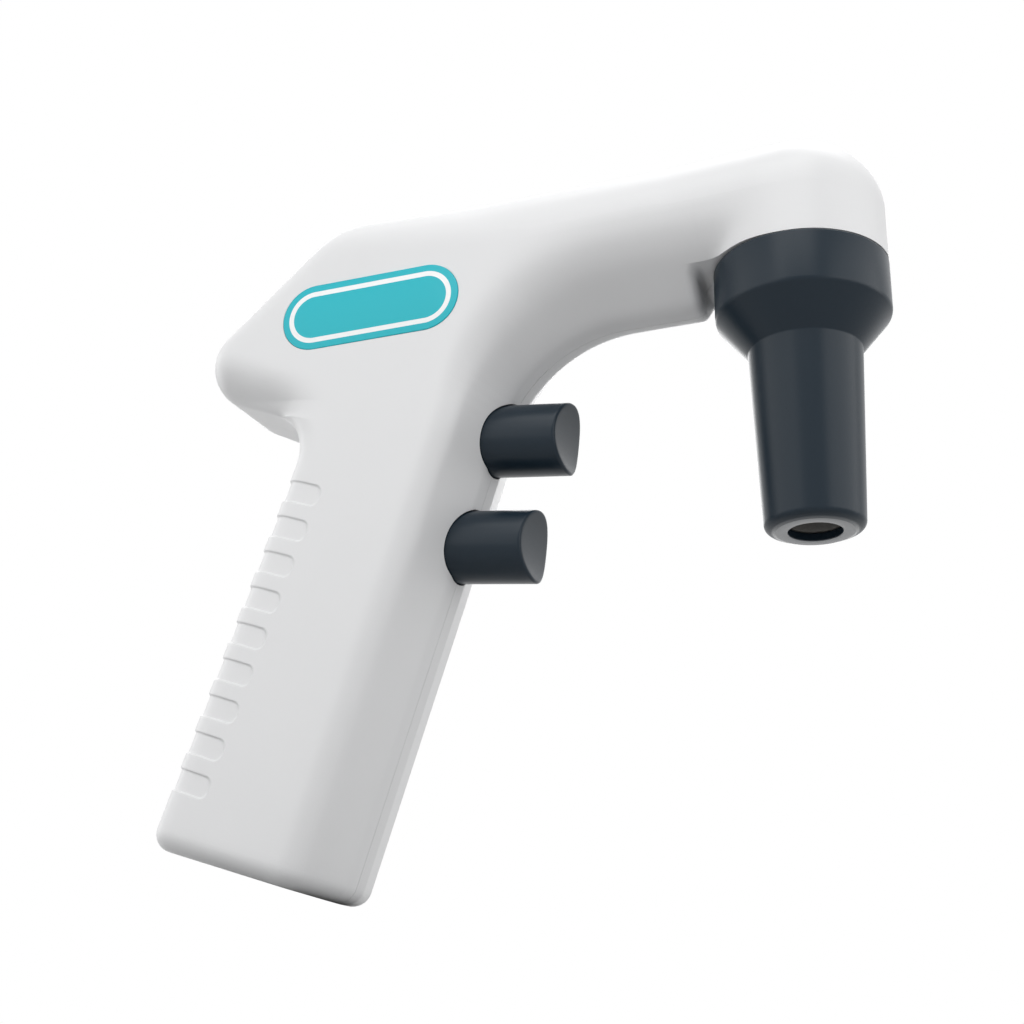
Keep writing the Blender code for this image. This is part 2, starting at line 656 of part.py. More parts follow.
def housing_body(name, inset, side, rows=1.0):
    """The housing's left or right half as a closed solid, drawn in by an inset."""
    grid = housing_grid(rows, inset)
    bm = bmesh.new()
    net = [[bm.verts.new(point) for point in row] for row in grid]
    for low, high in zip(net[:-1], net[1:]):
        for a, b, c, d in zip(low[:-1], low[1:], high[1:], high[:-1]):
            bm.faces.new((a, b, c, d))
    bm.faces.new(net[0])
    foot = [bm.edges.get((a, b)) for a, b in zip(net[0][:-1], net[0][1:])]
    bmesh.ops.recalc_face_normals(bm, faces=bm.faces)
    bmesh.ops.bevel(bm, geom=foot, offset=FOOT_RADIUS - inset, segments=3, affect="EDGES", profile=0.5)
    bmesh.ops.remove_doubles(bm, verts=bm.verts, dist=0.00002)
    bmesh.ops.dissolve_degenerate(bm, edges=bm.edges, dist=0.00001)
    for v in bm.verts:
        if v.is_boundary:
            v.co.y = -SEAM if inset == 0 else inset
    bmesh.ops.holes_fill(bm, edges=[e for e in bm.edges if e.is_boundary], sides=0)
    if side == "left":
        bmesh.ops.scale(bm, vec=(1, -1, 1), verts=bm.verts)
    return mesh_from(name, bm)


root = frame_at("controller_frame", (0, 0, 0))


def housing_half(side):
    """One moulded half shell with its posts, openings and grip grooves."""
    sign = -1 if side == "right" else 1
    shell = place("housing_" + side, housing_body("shell_" + side, 0.0, side), PALE, root)
    cavity = place("cavity_" + side, housing_body("cavity_" + side, WALL, side, 0.6), None, root)
    far = 2 * HALF_WIDTH
    ceiling = COLLAR_TOP_Z + GAP
    notch = block("notch_" + side, (NOTCH_X, -far, 0.5 * ceiling), (far, far, ceiling), parent=root)
    groove_top = FLANGE_Z + FLANGE_THICKNESS + GAP
    keep = block("bulkhead_" + side, (NOTCH_X - WALL, -far, 0.5 * ceiling),
                 (far, far, groove_top + WALL / 2), parent=root)
    combine(cavity, keep)
    for place_name, (x, z) in SCREW_PLACES.items():
        post = drum("post_" + place_name + "_" + side, POST_RADIUS, min(sign * SEAM, sign * far),
                    max(sign * SEAM, sign * far), parent=root, axis="y", centre=(x, 0, z), sides=16)
        combine(cavity, post)
    combine(shell, cavity)
    combine(shell, notch)
    bore = drum("head_bore_" + side, COLLAR_BORE + GAP, ceiling - WALL, FLANGE_Z + 3 * WALL,
                parent=root, sides=48)
    combine(shell, bore)
    rim = drum("head_groove_" + side, FLANGE_RADIUS + GAP, FLANGE_Z - GAP, groove_top, parent=root,
               sides=48)
    combine(shell, rim)
    for place_name, (x, z) in SCREW_PLACES.items():
        hole = drum("screw_hole_" + place_name + "_" + side, SCREW_SHANK + GAP, -SCREW_DEPTH - GAP,
                    far, parent=root, axis="y", centre=(x, 0, z), sides=12)
        combine(shell, hole)
        if side == "left":
            seat = drum("screw_seat_" + place_name, SCREW_HEAD + GAP,
                        HALF_WIDTH - SCREW_SINK - SCREW_HEAD_HEIGHT, far, parent=root, axis="y",
                        centre=(x, 0, z), sides=16)
            combine(shell, seat)
    for level, (x, z) in BUTTON_ENDS.items():
        tilt = Matrix.Rotation(BUTTON_TILT, 4, "Y")
        hole = drum("button_hole_" + level + "_" + side, BUTTON_RADIUS + GAP, -FLANGE_START,
                    -FLANGE_START / 2, parent=root, axis="x", sides=32)
        hole.matrix_local = Matrix.Translation((x, 0, z)) @ tilt
        combine(shell, hole)
    return shell


def grip_groove(number, side):
    """A shallow band cut that wraps the grip's back edge and ends on its side."""
    sign = -1 if side == "right" else 1
    outer = GRIP_EDGE + GROOVE_DEPTH
    inner = GRIP_EDGE - GROOVE_DEPTH
    flat = HALF_WIDTH - GRIP_EDGE
    points = [(-GROOVE_DEPTH, -GAP), (-GROOVE_DEPTH, flat)]
    points += [(GRIP_EDGE - outer * cos(a), flat + outer * sin(a)) for a in np.linspace(0.3, pi / 2, 5)]
    points += [(GROOVE_REACH, flat + outer), (GROOVE_REACH, flat + inner)]
    points += [(GRIP_EDGE - inner * cos(a), flat + inner * sin(a)) for a in np.linspace(pi / 2, 0.3, 5)]
    points += [(GROOVE_DEPTH, flat), (GROOVE_DEPTH, -GAP)]
    bm = bmesh.new()
    low = [bm.verts.new((x, sign * y, -GROOVE_HEIGHT / 2)) for x, y in points]
    high = [bm.verts.new((x, sign * y, GROOVE_HEIGHT / 2)) for x, y in points]
    bm.faces.new(low)
    bm.faces.new(high)
    count = len(points)
    for k in range(count):
        bm.faces.new((low[k], low[(k + 1) % count], high[(k + 1) % count], high[k]))
    name = f"groove_{number}_{side}"
    cutter = place(name, mesh_from(name, bm, smooth=False), None, root)
    drop = GROOVE_FIRST + (number - 1) * GROOVE_PITCH
    top = tangent(REAR_WEB, FOOT_BACK, TAIL_TIP, REAR_WEB_RADIUS)
    spot = (top[0] - drop * sin(BACK_SLOPE), 0, top[1] - drop * cos(BACK_SLOPE))
    cutter.matrix_local = Matrix.Translation(spot) @ Matrix.Rotation(BACK_SLOPE, 4, "Y")
    return cutter


left = housing_half("left")
right = housing_half("right")
for half, side in ((left, "left"), (right, "right")):
    for number in range(1, GROOVE_COUNT + 1):
        combine(half, grip_groove(number, side))


def stadium(length, height, centre, steps=8):
    """A pill outline, straight along X."""
    radius = height / 2
    reach = length / 2 - radius
    ends = arc((centre[0] + reach, centre[1]), radius, -90, 90, steps)
    return ends + arc((centre[0] - reach, centre[1]), radius, 90, 270, steps)


pocket_y = BADGE_SINK + GAP / 2 - HALF_WIDTH
pocket = outline("badge_pocket", stadium(BADGE_LENGTH + 2 * GAP, BADGE_HEIGHT + 2 * GAP, (BADGE_X, BADGE_Z)),
                 -HALF_WIDTH - MM, pocket_y, parent=root)
combine(right, pocket)
outline("badge_plate", stadium(BADGE_LENGTH, BADGE_HEIGHT, (BADGE_X, BADGE_Z)),
        pocket_y - GAP - BADGE_THICKNESS, pocket_y - GAP, TEAL, root)


# Nose: socket in the head, cone, seal, filter and pipette holder
nose = frame_at("nose_frame", (0, 0, 0), parent=root)
edge = TUBE_EDGE
nose_profile = [(COLLAR_BORE, COLLAR_TOP_Z), (COLLAR_RADIUS - COLLAR_EDGE, COLLAR_TOP_Z),
                (COLLAR_RADIUS, COLLAR_TOP_Z - COLLAR_EDGE), (COLLAR_RADIUS, COLLAR_LOW_Z + 0.6 * MM),
                (COLLAR_RADIUS - 0.25 * MM, COLLAR_LOW_Z - 0.7 * MM), (CONE_TOP_RADIUS, CONE_TOP_Z),
                (TUBE_TOP_RADIUS + 0.9 * MM, TUBE_TOP_Z + 0.6 * MM),
                (TUBE_TOP_RADIUS, TUBE_TOP_Z - 1.2 * MM), (TUBE_END_RADIUS, edge)]
nose_profile += [(r, z) for r, z in arc((TUBE_END_RADIUS - edge, edge), edge, 0, -90, 5)][1:]
nose_profile += [(HOLE_RADIUS + 0.6 * MM, 0.0), (HOLE_RADIUS, 0.6 * MM), (HOLE_RADIUS, HOLE_DEPTH),
                 (HOLDER_BORE, HOLE_DEPTH), (HOLDER_BORE, CHAMBER_FLOOR_Z),
                 (CHAMBER_RADIUS, CHAMBER_FLOOR_Z), (CHAMBER_RADIUS, SHOULDER_Z), (COLLAR_BORE, SHOULDER_Z)]
turned("nose_cone", nose_profile, DARK, nose, closed=True, steps=40)

holder_low = HOLE_DEPTH + GAP
holder_top = CHAMBER_FLOOR_Z - GAP
holder_side = HOLDER_BORE - GAP
filter_low = CHAMBER_FLOOR_Z + GAP
holder_profile = [(SPIGOT_RADIUS + GAP, holder_top), (holder_side, holder_top), (holder_side, holder_low),
                  (HOLE_RADIUS - GAP, holder_low), (HOLDER_GRIP + 1.0 * MM, holder_low + 5 * MM),
                  (HOLDER_GRIP, holder_low + 8 * MM), (HOLDER_GRIP, holder_low + 26 * MM),
                  (SPIGOT_BORE + GAP, holder_low + 29 * MM),
                  (SPIGOT_BORE + GAP, filter_low - SPIGOT_LENGTH - GAP),
                  (SPIGOT_RADIUS + GAP, filter_low - SPIGOT_LENGTH - GAP)]
turned("pipette_holder", holder_profile, SILICONE, nose, closed=True, steps=32)

socket_low = SHOULDER_Z + 2 * SEAL_WIRE + 2 * GAP
skirt = COLLAR_BORE - GAP
skirt_bore = skirt - SOCKET_WALL
filter_mid = filter_low + FILTER_HEIGHT / 2
membrane_half = MEMBRANE_THICKNESS / 2 + GAP
dish = FILTER_RADIUS - FILTER_WALL
turned("filter_lower_half",
       [(dish, filter_mid - membrane_half), (FILTER_RADIUS, filter_mid - membrane_half),
        (FILTER_RADIUS, filter_low), (SPIGOT_RADIUS, filter_low),
        (SPIGOT_RADIUS, filter_low - SPIGOT_LENGTH), (SPIGOT_BORE, filter_low - SPIGOT_LENGTH),
        (SPIGOT_BORE, filter_low + FILTER_WALL), (dish, filter_low + FILTER_WALL)],
       CLEAR, nose, closed=True, steps=24)
filter_top = filter_low + FILTER_HEIGHT
turned("filter_upper_half",
       [(SPIGOT_BORE, filter_top + SPIGOT_LENGTH), (SPIGOT_RADIUS, filter_top + SPIGOT_LENGTH),
        (SPIGOT_RADIUS, filter_top), (FILTER_RADIUS, filter_top),
        (FILTER_RADIUS, filter_mid + membrane_half), (dish, filter_mid + membrane_half),
        (dish, filter_top - FILTER_WALL), (SPIGOT_BORE, filter_top - FILTER_WALL)],
       CLEAR, nose, closed=True, steps=24)
drum("filter_membrane", dish + FILTER_WALL / 2, filter_mid - MEMBRANE_THICKNESS / 2,
     filter_mid + MEMBRANE_THICKNESS / 2, MEMBRANE, nose, sides=32)

port_low = filter_top + GAP
socket_profile = [(SPIGOT_BORE, FLANGE_Z + FLANGE_THICKNESS + BARB_LENGTH),
                  (BARB_RADIUS, FLANGE_Z + FLANGE_THICKNESS + BARB_LENGTH),
                  (BARB_RADIUS, FLANGE_Z + FLANGE_THICKNESS), (FLANGE_RADIUS, FLANGE_Z + FLANGE_THICKNESS),
                  (FLANGE_RADIUS, FLANGE_Z), (skirt, FLANGE_Z), (skirt, socket_low),
                  (skirt_bore, socket_low), (skirt_bore, FLANGE_Z - GAP),
                  (SPIGOT_RADIUS + 2 * MM, FLANGE_Z - GAP), (SPIGOT_RADIUS + 2 * MM, port_low),
                  (SPIGOT_RADIUS + GAP, port_low),
                  (SPIGOT_RADIUS + GAP, filter_top + SPIGOT_LENGTH + GAP),
                  (SPIGOT_BORE, filter_top + SPIGOT_LENGTH + GAP)]
turned("nose_socket", socket_profile, ACETAL, root, closed=True, steps=40)
turned("seal_ring", ring_profile(SEAL_RADIUS, SEAL_WIRE, SHOULDER_Z + GAP + SEAL_WIRE), RUBBER, nose,
       closed=True, steps=24)


# Buttons with their stems, springs and seals
def button_set(level, end):
    """One button and the pieces on its axis; local +X points out of the grip."""
    axis = frame_at(level + "_button_axis", (end[0], 0, end[1]), (0, BUTTON_TILT, 0), root)
    inner = [(0.0, 0.0), (BUTTON_RADIUS - BUTTON_EDGE, 0.0), (BUTTON_RADIUS, -BUTTON_EDGE),
             (BUTTON_RADIUS, -FLANGE_START), (BUTTON_FLANGE, -FLANGE_START), (BUTTON_FLANGE, -FLANGE_END),
             (STEM_RADIUS + GAP, -FLANGE_END), (STEM_RADIUS + GAP, -FLANGE_END + STEM_SOCKET),
             (0.0, -FLANGE_END + STEM_SOCKET)]
    button = turned(level + "_button", inner, DARK, axis, steps=40, turn=along_axis("x"))
    scoop_radius = (BUTTON_RADIUS ** 2 + BUTTON_DISH ** 2) / (2 * BUTTON_DISH)
    scoop = drum(level + "_scoop", scoop_radius, -2 * BUTTON_RADIUS, 2 * BUTTON_RADIUS, parent=axis,
                 axis="y", centre=(scoop_radius - BUTTON_DISH, 0, 0), sides=96)
    combine(button, scoop)
    stem = [(0.0, -FLANGE_END + STEM_SOCKET - GAP), (STEM_RADIUS, -FLANGE_END + STEM_SOCKET - GAP),
            (STEM_RADIUS, 2 * STEM_RADIUS - STEM_END), (STEM_RADIUS / 3, -STEM_END), (0.0, -STEM_END)]
    turned(level + "_valve_stem", stem, STEEL, axis, steps=16, turn=along_axis("x"))
    spring_start = -FLANGE_END - GAP - SPRING_WIRE
    spring_end = -VALVE_START + GAP + SPRING_WIRE
    count = round(12 * SPRING_TURNS)
    coil = []
    for k in range(count + 1):
        angle = 2 * pi * SPRING_TURNS * k / count
        x = spring_start + (spring_end - spring_start) * k / count
        coil.append((x, SPRING_RADIUS * cos(angle), SPRING_RADIUS * sin(angle)))
    wire(level + "_return_spring", coil, SPRING_WIRE, STEEL, axis)
    seal_at = -VALVE_START - GAP - STEM_SEAL_WIRE
    turned(level + "_stem_seal", ring_profile(STEM_SEAL_RADIUS, STEM_SEAL_WIRE, seal_at), RUBBER, axis,
           closed=True, steps=16, turn=along_axis("x"))
    return axis


axes = {level: button_set(level, end) for level, end in BUTTON_ENDS.items()}

# Valve block: a stepped block whose bores follow the two buttons' axes
tilted = frame_at("valve_frame", (0, 0, 0), (0, BUTTON_TILT, 0), root)


def in_tilt(x, z):
    """World x and z as distances along and across the buttons' axes."""
    return (x * cos(BUTTON_TILT) - z * sin(BUTTON_TILT), x * sin(BUTTON_TILT) + z * cos(BUTTON_TILT))


upper_x, upper_z = in_tilt(*BUTTON_ENDS["upper"])
lower_x, lower_z = in_tilt(*BUTTON_ENDS["lower"])
block_back = lower_x - VALVE_START - VALVE_DEPTH / 1.4
block_top = upper_z + VALVE_SIDE
step_z = (upper_z + lower_z) / 2
valve_outline = [(block_back, lower_z - VALVE_SIDE), (lower_x - VALVE_START, lower_z - VALVE_SIDE),
                 (lower_x - VALVE_START, step_z), (upper_x - VALVE_START, step_z),
                 (upper_x - VALVE_START, block_top), (block_back, block_top)]
wall_y = HALF_WIDTH - WALL - GAP
valve_block = outline("valve_block", valve_outline, -wall_y + VALVE_RELIEF, VALVE_INNER_SIDE, ACETAL,
                      tilted)
for level, (x, z) in {"upper": (upper_x, upper_z), "lower": (lower_x, lower_z)}.items():
    bore = drum(level + "_valve_bore", STEM_RADIUS + GAP, x - STEM_END - BUTTON_TRAVEL - 2 * MM, x,
                parent=tilted, axis="x", centre=(0, 0, z), sides=16)
    combine(valve_block, bore)
    recess = drum(level + "_seal_recess", STEM_SEAL_RADIUS + STEM_SEAL_WIRE + GAP,
                  x - VALVE_START - 2 * GAP - 2 * STEM_SEAL_WIRE, x, parent=tilted, axis="x",
                  centre=(0, 0, z), sides=16)
    combine(valve_block, recess)
ports = {"nose": (block_back + 3.2 * MM, -11.0 * MM), "pressure": (block_back + 7.5 * MM, -1.0 * MM),
         "suction": (block_back + 7.5 * MM, -6.4 * MM)}
for port, (x, y) in ports.items():
    barb = drum(port + "_port", PORT_RADIUS, block_top - 1 * MM, block_top + PORT_LENGTH, parent=tilted,
                centre=(x, y, 0), sides=12)
    combine(valve_block, barb, "UNION")


def from_tilt(x, y, z):
    """A place in the valve frame as one in the controller's frame."""
    return Vector((x * cos(BUTTON_TILT) + z * sin(BUTTON_TILT), y,
                   -x * sin(BUTTON_TILT) + z * cos(BUTTON_TILT)))


# Circuit board with a switch behind each button
board_front = lower_x - FLANGE_END - BOARD_SETBACK
board_low = lower_z - VALVE_SIDE - MM
board_high = upper_z + VALVE_SIDE + 2 * MM
block("circuit_board", (board_front - BOARD_DEPTH, BOARD_FACE_Y, board_low),
      (board_front, BOARD_FACE_Y + BOARD_THICKNESS, board_high), BOARD, tilted)
for level, (x, z) in {"upper": (upper_x, upper_z), "lower": (lower_x, lower_z)}.items():
    face = x - FLANGE_END - BUTTON_TRAVEL - GAP - PLUNGER_LENGTH
    depth, tall, long = SWITCH_SIZE
    top = BOARD_FACE_Y - GAP
    switch = block(level + "_switch", (face - depth, top - tall, z - long / 2), (face, top, z + long / 2),
                   BLACK, tilted)
    plunger = drum(level + "_plunger", PLUNGER_RADIUS, face - MM, face + PLUNGER_LENGTH, parent=tilted,
                   axis="x", centre=(0, top - tall / 2, z), sides=12)
    combine(switch, plunger, "UNION")

# Motor, crank and diaphragm pump
shaft_bore = SHAFT_RADIUS + GAP
frame_back = MOTOR_FRONT_X + GAP
pump_axis = frame_at("pump_axis", (frame_back, 0, MOTOR_Z), parent=root)
motor_low = -GAP - MOTOR_LENGTH
motor_profile = [(0.0, -MOTOR_BORE_DEPTH), (shaft_bore, -MOTOR_BORE_DEPTH), (shaft_bore, FRAME_WALL),
                 (MOTOR_BOSS, FRAME_WALL), (MOTOR_BOSS, -GAP),
                 (MOTOR_RADIUS - MOTOR_EDGE, -GAP), (MOTOR_RADIUS, -GAP - MOTOR_EDGE),
                 (MOTOR_RADIUS, motor_low + MOTOR_EDGE), (MOTOR_RADIUS - MOTOR_EDGE, motor_low),
                 (MOTOR_BOSS, motor_low), (MOTOR_BOSS, motor_low - MOTOR_BOSS_LENGTH),
                 (0.0, motor_low - MOTOR_BOSS_LENGTH)]
turned("pump_motor", motor_profile, STEEL, pump_axis, steps=32, turn=along_axis("x"))
crank = drum("pump_crank", SHAFT_RADIUS, GAP - MOTOR_BORE_DEPTH, CAM_START + 1.5 * CAM_WIDTH, STEEL,
             pump_axis, axis="x", sides=16)
cam = drum("pump_cam", CAM_RADIUS, CAM_START, CAM_START + CAM_WIDTH, parent=pump_axis, axis="x",
           centre=(0, 0, CRANK_THROW), sides=24)
combine(crank, cam, "UNION")

frame_low = FRAME_LOW_Z - MOTOR_Z
frame_top = FRAME_TOP_Z - MOTOR_Z
pump_frame = block("pump_frame", (0, -FRAME_HALF, frame_low), (FRAME_LENGTH, FRAME_HALF, frame_top),
                   ACETAL, pump_axis)
hollow = block("pump_frame_hollow", (FRAME_WALL, -FRAME_HALF + FRAME_WALL, frame_low + FRAME_WALL),
               (FRAME_LENGTH + MM, FRAME_HALF - FRAME_WALL, frame_top - FRAME_WALL), parent=pump_axis)
combine(pump_frame, hollow)
ears = block("pump_frame_ears", (0.2 * MM, -wall_y, frame_low + 2 * MM),
             (FRAME_WALL - 0.2 * MM, wall_y, frame_low + 12 * MM), parent=pump_axis)
combine(pump_frame, ears, "UNION")
combine(pump_frame, drum("motor_seat", MOTOR_BOSS + GAP, -MM, FRAME_WALL + MM, parent=pump_axis, axis="x"))
combine(pump_frame, drum("rod_hole", ROD_HOLE, frame_top - 3 * MM, frame_top + MM, parent=pump_axis,
                         centre=(CAM_START + CAM_WIDTH / 2, 0, 0), sides=16))
ring_bore = CAM_RADIUS + CRANK_THROW + GAP
rod_mid = CAM_START + CAM_WIDTH / 2
rod = drum("pump_rod", ring_bore + ROD_WALL, CAM_START + GAP, CAM_START + CAM_WIDTH - GAP, ACETAL,
           pump_axis, axis="x", sides=24)
stalk = drum("pump_rod_stalk", ROD_WALL, ring_bore + ROD_WALL / 2, frame_top, parent=pump_axis,
             centre=(rod_mid, 0, 0), sides=12)
combine(rod, stalk, "UNION")
combine(rod, drum("pump_rod_ring", ring_bore, 0, 4 * CAM_WIDTH, parent=pump_axis, axis="x"))
drum("pump_diaphragm", DIAPHRAGM_RADIUS, frame_top + GAP, frame_top + GAP + DIAPHRAGM_THICKNESS, RUBBER,
     pump_axis, centre=(rod_mid, 0, 0), sides=32)
head_low = frame_top + 2 * GAP + DIAPHRAGM_THICKNESS
pump_head = block("pump_head", (-2 * MM, -PUMP_HEAD_HALF, head_low),
                  (FRAME_LENGTH - MM, PUMP_HEAD_HALF, head_low + PUMP_HEAD_HEIGHT), ACETAL, pump_axis)
pump_port_z = head_low + PUMP_HEAD_HEIGHT / 2
pump_port_x = FRAME_LENGTH - MM + PORT_LENGTH
for port, y in (("suction", -PUMP_PORT_Y), ("pressure", PUMP_PORT_Y)):
    barb = drum("pump_" + port + "_port", PUMP_PORT_RADIUS, FRAME_LENGTH - 2 * MM, pump_port_x,
                parent=pump_axis, axis="x", centre=(0, y, pump_port_z), sides=12)
    combine(pump_head, barb, "UNION")

# Hoses between the pump, the valve block and the nose
pump_x = frame_back + pump_port_x + GAP
pump_z = MOTOR_Z + pump_port_z


def hose_from_port(port, points, count=3):
    """A hose that starts on one of the valve block's ports."""
    x, y = ports[port]
    start = from_tilt(x, y, block_top + PORT_LENGTH + GAP)
    lift = from_tilt(x, y, block_top + PORT_LENGTH + GAP + 2.5 * MM)
    wire(port + "_hose", smooth_route([start, lift] + points, count), HOSE_RADIUS, HOSE, root)


for port, y, port_y in (("pressure", 4.2 * MM, PUMP_PORT_Y), ("suction", -4.2 * MM, -PUMP_PORT_Y)):
    hose_from_port(port, [
        (-80 * MM, 0.8 * y, 49.5 * MM), (-68 * MM, y, 51.5 * MM), (-56 * MM, y, 58 * MM),
        (-50.2 * MM, y, 67 * MM), (-54.5 * MM, y, 74.2 * MM), (pump_x + 3 * MM, port_y, pump_z),
        (pump_x, port_y, pump_z)])
barb_top = FLANGE_Z + FLANGE_THICKNESS + BARB_LENGTH + GAP
hose_from_port("nose", [
    (-84 * MM, -11 * MM, 49 * MM), (-72 * MM, -10.5 * MM, 50.5 * MM), (-61 * MM, -9.6 * MM, 56 * MM),
    (-50 * MM, -9 * MM, 61.5 * MM), (-38 * MM, -8 * MM, 64 * MM), (-26 * MM, -6 * MM, 69.5 * MM),
    (-14 * MM, -3.5 * MM, 76 * MM), (-5 * MM, -1 * MM, 76.8 * MM), (0, 0, barb_top + 2.5 * MM),
    (0, 0, barb_top)])

# Battery pack and charging socket in the grip
foot_mid = Vector(((FOOT_FRONT[0] + FOOT_BACK[0]) / 2, 0, (FOOT_FRONT[1] + FOOT_BACK[1]) / 2))
grip = frame_at("grip_frame", foot_mid, (0, (FRONT_SLOPE + BACK_SLOPE) / 2, 0), root)
pack = frame_at("battery_frame", (-PACK_SETBACK, 0, 0), parent=grip)
tray_half = 2 * CELL_RADIUS + 2 * GAP + TRAY_WALL
tray_side = CELL_RADIUS + GAP + TRAY_WALL
cell_low = TRAY_START + TRAY_WALL + 2 * GAP + CONTACT_THICKNESS
cell_high = cell_low + CELL_LENGTH
tray_end = cell_high + 2 * GAP + CONTACT_THICKNESS + TRAY_WALL
tray = block("battery_tray", (-tray_half, -tray_side, TRAY_START), (tray_half, tray_side, tray_end), BLACK,
             pack)
combine(tray, block("tray_hollow", (TRAY_WALL - tray_half, -tray_side - MM, TRAY_START + TRAY_WALL),
                    (tray_half - TRAY_WALL, tray_side - TRAY_WALL, tray_end - TRAY_WALL), parent=pack))
for end, low in (("low", TRAY_START), ("high", tray_end - TRAY_WALL)):
    plate = block("tray_plate_" + end, (-TRAY_PLATE, -wall_y, low), (TRAY_PLATE, wall_y, low + TRAY_WALL),
                  parent=pack)
    combine(tray, plate, "UNION")
for name, x in (("front", CELL_RADIUS + GAP / 2), ("rear", -CELL_RADIUS - GAP / 2)):
    cell_face = cell_high - CELL_BUTTON_HEIGHT
    cell = [(0, cell_high), (CELL_BUTTON_RADIUS, cell_high), (CELL_BUTTON_RADIUS, cell_face),
            (CELL_RADIUS - CELL_EDGE, cell_face), (CELL_RADIUS, cell_face - CELL_EDGE),
            (CELL_RADIUS, cell_low), (0, cell_low)]
    turned("battery_cell_" + name, cell, CELL, pack, steps=24, turn=Matrix.Translation((x, 0, 0)))
    block("battery_contact_" + name, (x - CONTACT_HALF, -CONTACT_HALF, cell_high + GAP),
          (x + CONTACT_HALF, CONTACT_HALF, cell_high + GAP + CONTACT_THICKNESS), BRASS, pack)
link_half = CELL_RADIUS + CONTACT_HALF
block("battery_link", (-link_half, -CONTACT_HALF, cell_low - GAP - CONTACT_THICKNESS),
      (link_half, CONTACT_HALF, cell_low - GAP), BRASS, pack)
jack_low = WALL + GAP
jack = block("charging_socket", (-JACK_SIDE / 2, -JACK_SIDE / 2, jack_low),
             (JACK_SIDE / 2, JACK_SIDE / 2, jack_low + JACK_LENGTH), BLACK, grip)
combine(jack, drum("jack_bore", JACK_BORE, 0, jack_low + JACK_LENGTH - 2 * MM, parent=grip, sides=20))
pin = drum("charging_pin", JACK_PIN, jack_low + MM, jack_low + JACK_LENGTH - MM, parent=grip, sides=12)
combine(jack, pin, "UNION")
jack_hole = drum("jack_hole", JACK_BORE + 0.4 * MM, -2 * WALL, 1.4 * WALL, parent=grip, sides=24)
combine(left, jack_hole)
combine(right, jack_hole)

# Screws that close the housing
seat_y = HALF_WIDTH - SCREW_SINK
for name, (x, z) in SCREW_PLACES.items():
    screw = [(0, 0), (SCREW_HEAD - SCREW_HEAD_EDGE, 0), (SCREW_HEAD, -SCREW_HEAD_EDGE),
             (SCREW_HEAD, GAP - SCREW_HEAD_HEIGHT), (SCREW_SHANK, GAP - SCREW_HEAD_HEIGHT),
             (SCREW_SHANK, -seat_y - SCREW_DEPTH), (0, -seat_y - SCREW_DEPTH)]
    turned("housing_screw_" + name, screw, STEEL, root, steps=16,
           turn=Matrix.Translation((x, seat_y, z)) @ along_axis("y"))

# The controller's own frame: origin under its middle, at the grip foot's lowest point
shell_points = [v.co for v in left.data.vertices]
rear_most = min(v.x for v in shell_points)
lowest = min(v.z for v in shell_points)
root.location = (-(rear_most + HALF_WIDTH) / 2, 0, -lowest)
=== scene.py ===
from math import acos, atan2, ceil, cos, pi, radians, sin, sqrt, tan

import bmesh
import bpy
import numpy as np
from mathutils import Matrix, Vector


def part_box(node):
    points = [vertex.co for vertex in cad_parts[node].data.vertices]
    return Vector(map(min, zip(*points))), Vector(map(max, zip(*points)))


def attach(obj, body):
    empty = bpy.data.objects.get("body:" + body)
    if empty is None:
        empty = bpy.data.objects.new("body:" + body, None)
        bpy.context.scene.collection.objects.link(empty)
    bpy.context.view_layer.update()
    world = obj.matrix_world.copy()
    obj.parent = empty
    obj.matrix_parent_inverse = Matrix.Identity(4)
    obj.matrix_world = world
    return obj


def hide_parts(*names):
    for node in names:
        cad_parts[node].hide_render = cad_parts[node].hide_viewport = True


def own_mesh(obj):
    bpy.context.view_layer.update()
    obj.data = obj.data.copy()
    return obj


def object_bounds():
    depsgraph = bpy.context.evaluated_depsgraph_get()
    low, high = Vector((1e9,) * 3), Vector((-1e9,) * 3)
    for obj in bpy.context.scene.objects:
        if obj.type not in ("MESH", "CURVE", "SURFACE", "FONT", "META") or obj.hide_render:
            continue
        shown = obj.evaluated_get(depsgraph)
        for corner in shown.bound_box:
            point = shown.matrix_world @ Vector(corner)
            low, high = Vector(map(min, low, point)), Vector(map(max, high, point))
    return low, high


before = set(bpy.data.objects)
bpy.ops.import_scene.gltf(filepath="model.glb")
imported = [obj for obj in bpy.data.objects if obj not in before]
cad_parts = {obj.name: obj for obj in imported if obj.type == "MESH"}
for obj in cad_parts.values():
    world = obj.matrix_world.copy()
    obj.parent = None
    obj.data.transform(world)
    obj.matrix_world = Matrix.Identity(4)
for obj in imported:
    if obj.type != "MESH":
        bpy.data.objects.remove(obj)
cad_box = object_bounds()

MM = 0.001

# The pipette's axis, which every size of the controller is laid out from: the
# nose cone is turned about it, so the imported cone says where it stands.
cone_low, cone_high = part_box("nose_cone")
NOSE = Vector(((cone_low.x + cone_high.x) / 2, 0, cone_low.z))
TO_FRAME = Matrix.Translation(NOSE)


# Studio. A pale floor that shows only from above, a white room and six soft
# boxes. The camera stands low at the controller's right side, and its place is
# given from the nose's end.
CAMERA_AZIMUTH = radians(21.982)
CAMERA_ELEVATION = radians(-20.479)
CAMERA_ROLL = radians(0.539)
CAMERA_PLACE = Vector((62.33, -313.02, -113.53)) * MM
LENS = 60.0
ROOM_LIGHT = 0.39
ROOM_WHITE = (1.0, 1.0, 1.0, 1.0)


def look_back(azimuth, elevation):
    """Unit vector from the object towards an azimuth and elevation."""
    return Vector((sin(azimuth) * cos(elevation), -cos(azimuth) * cos(elevation), sin(elevation)))


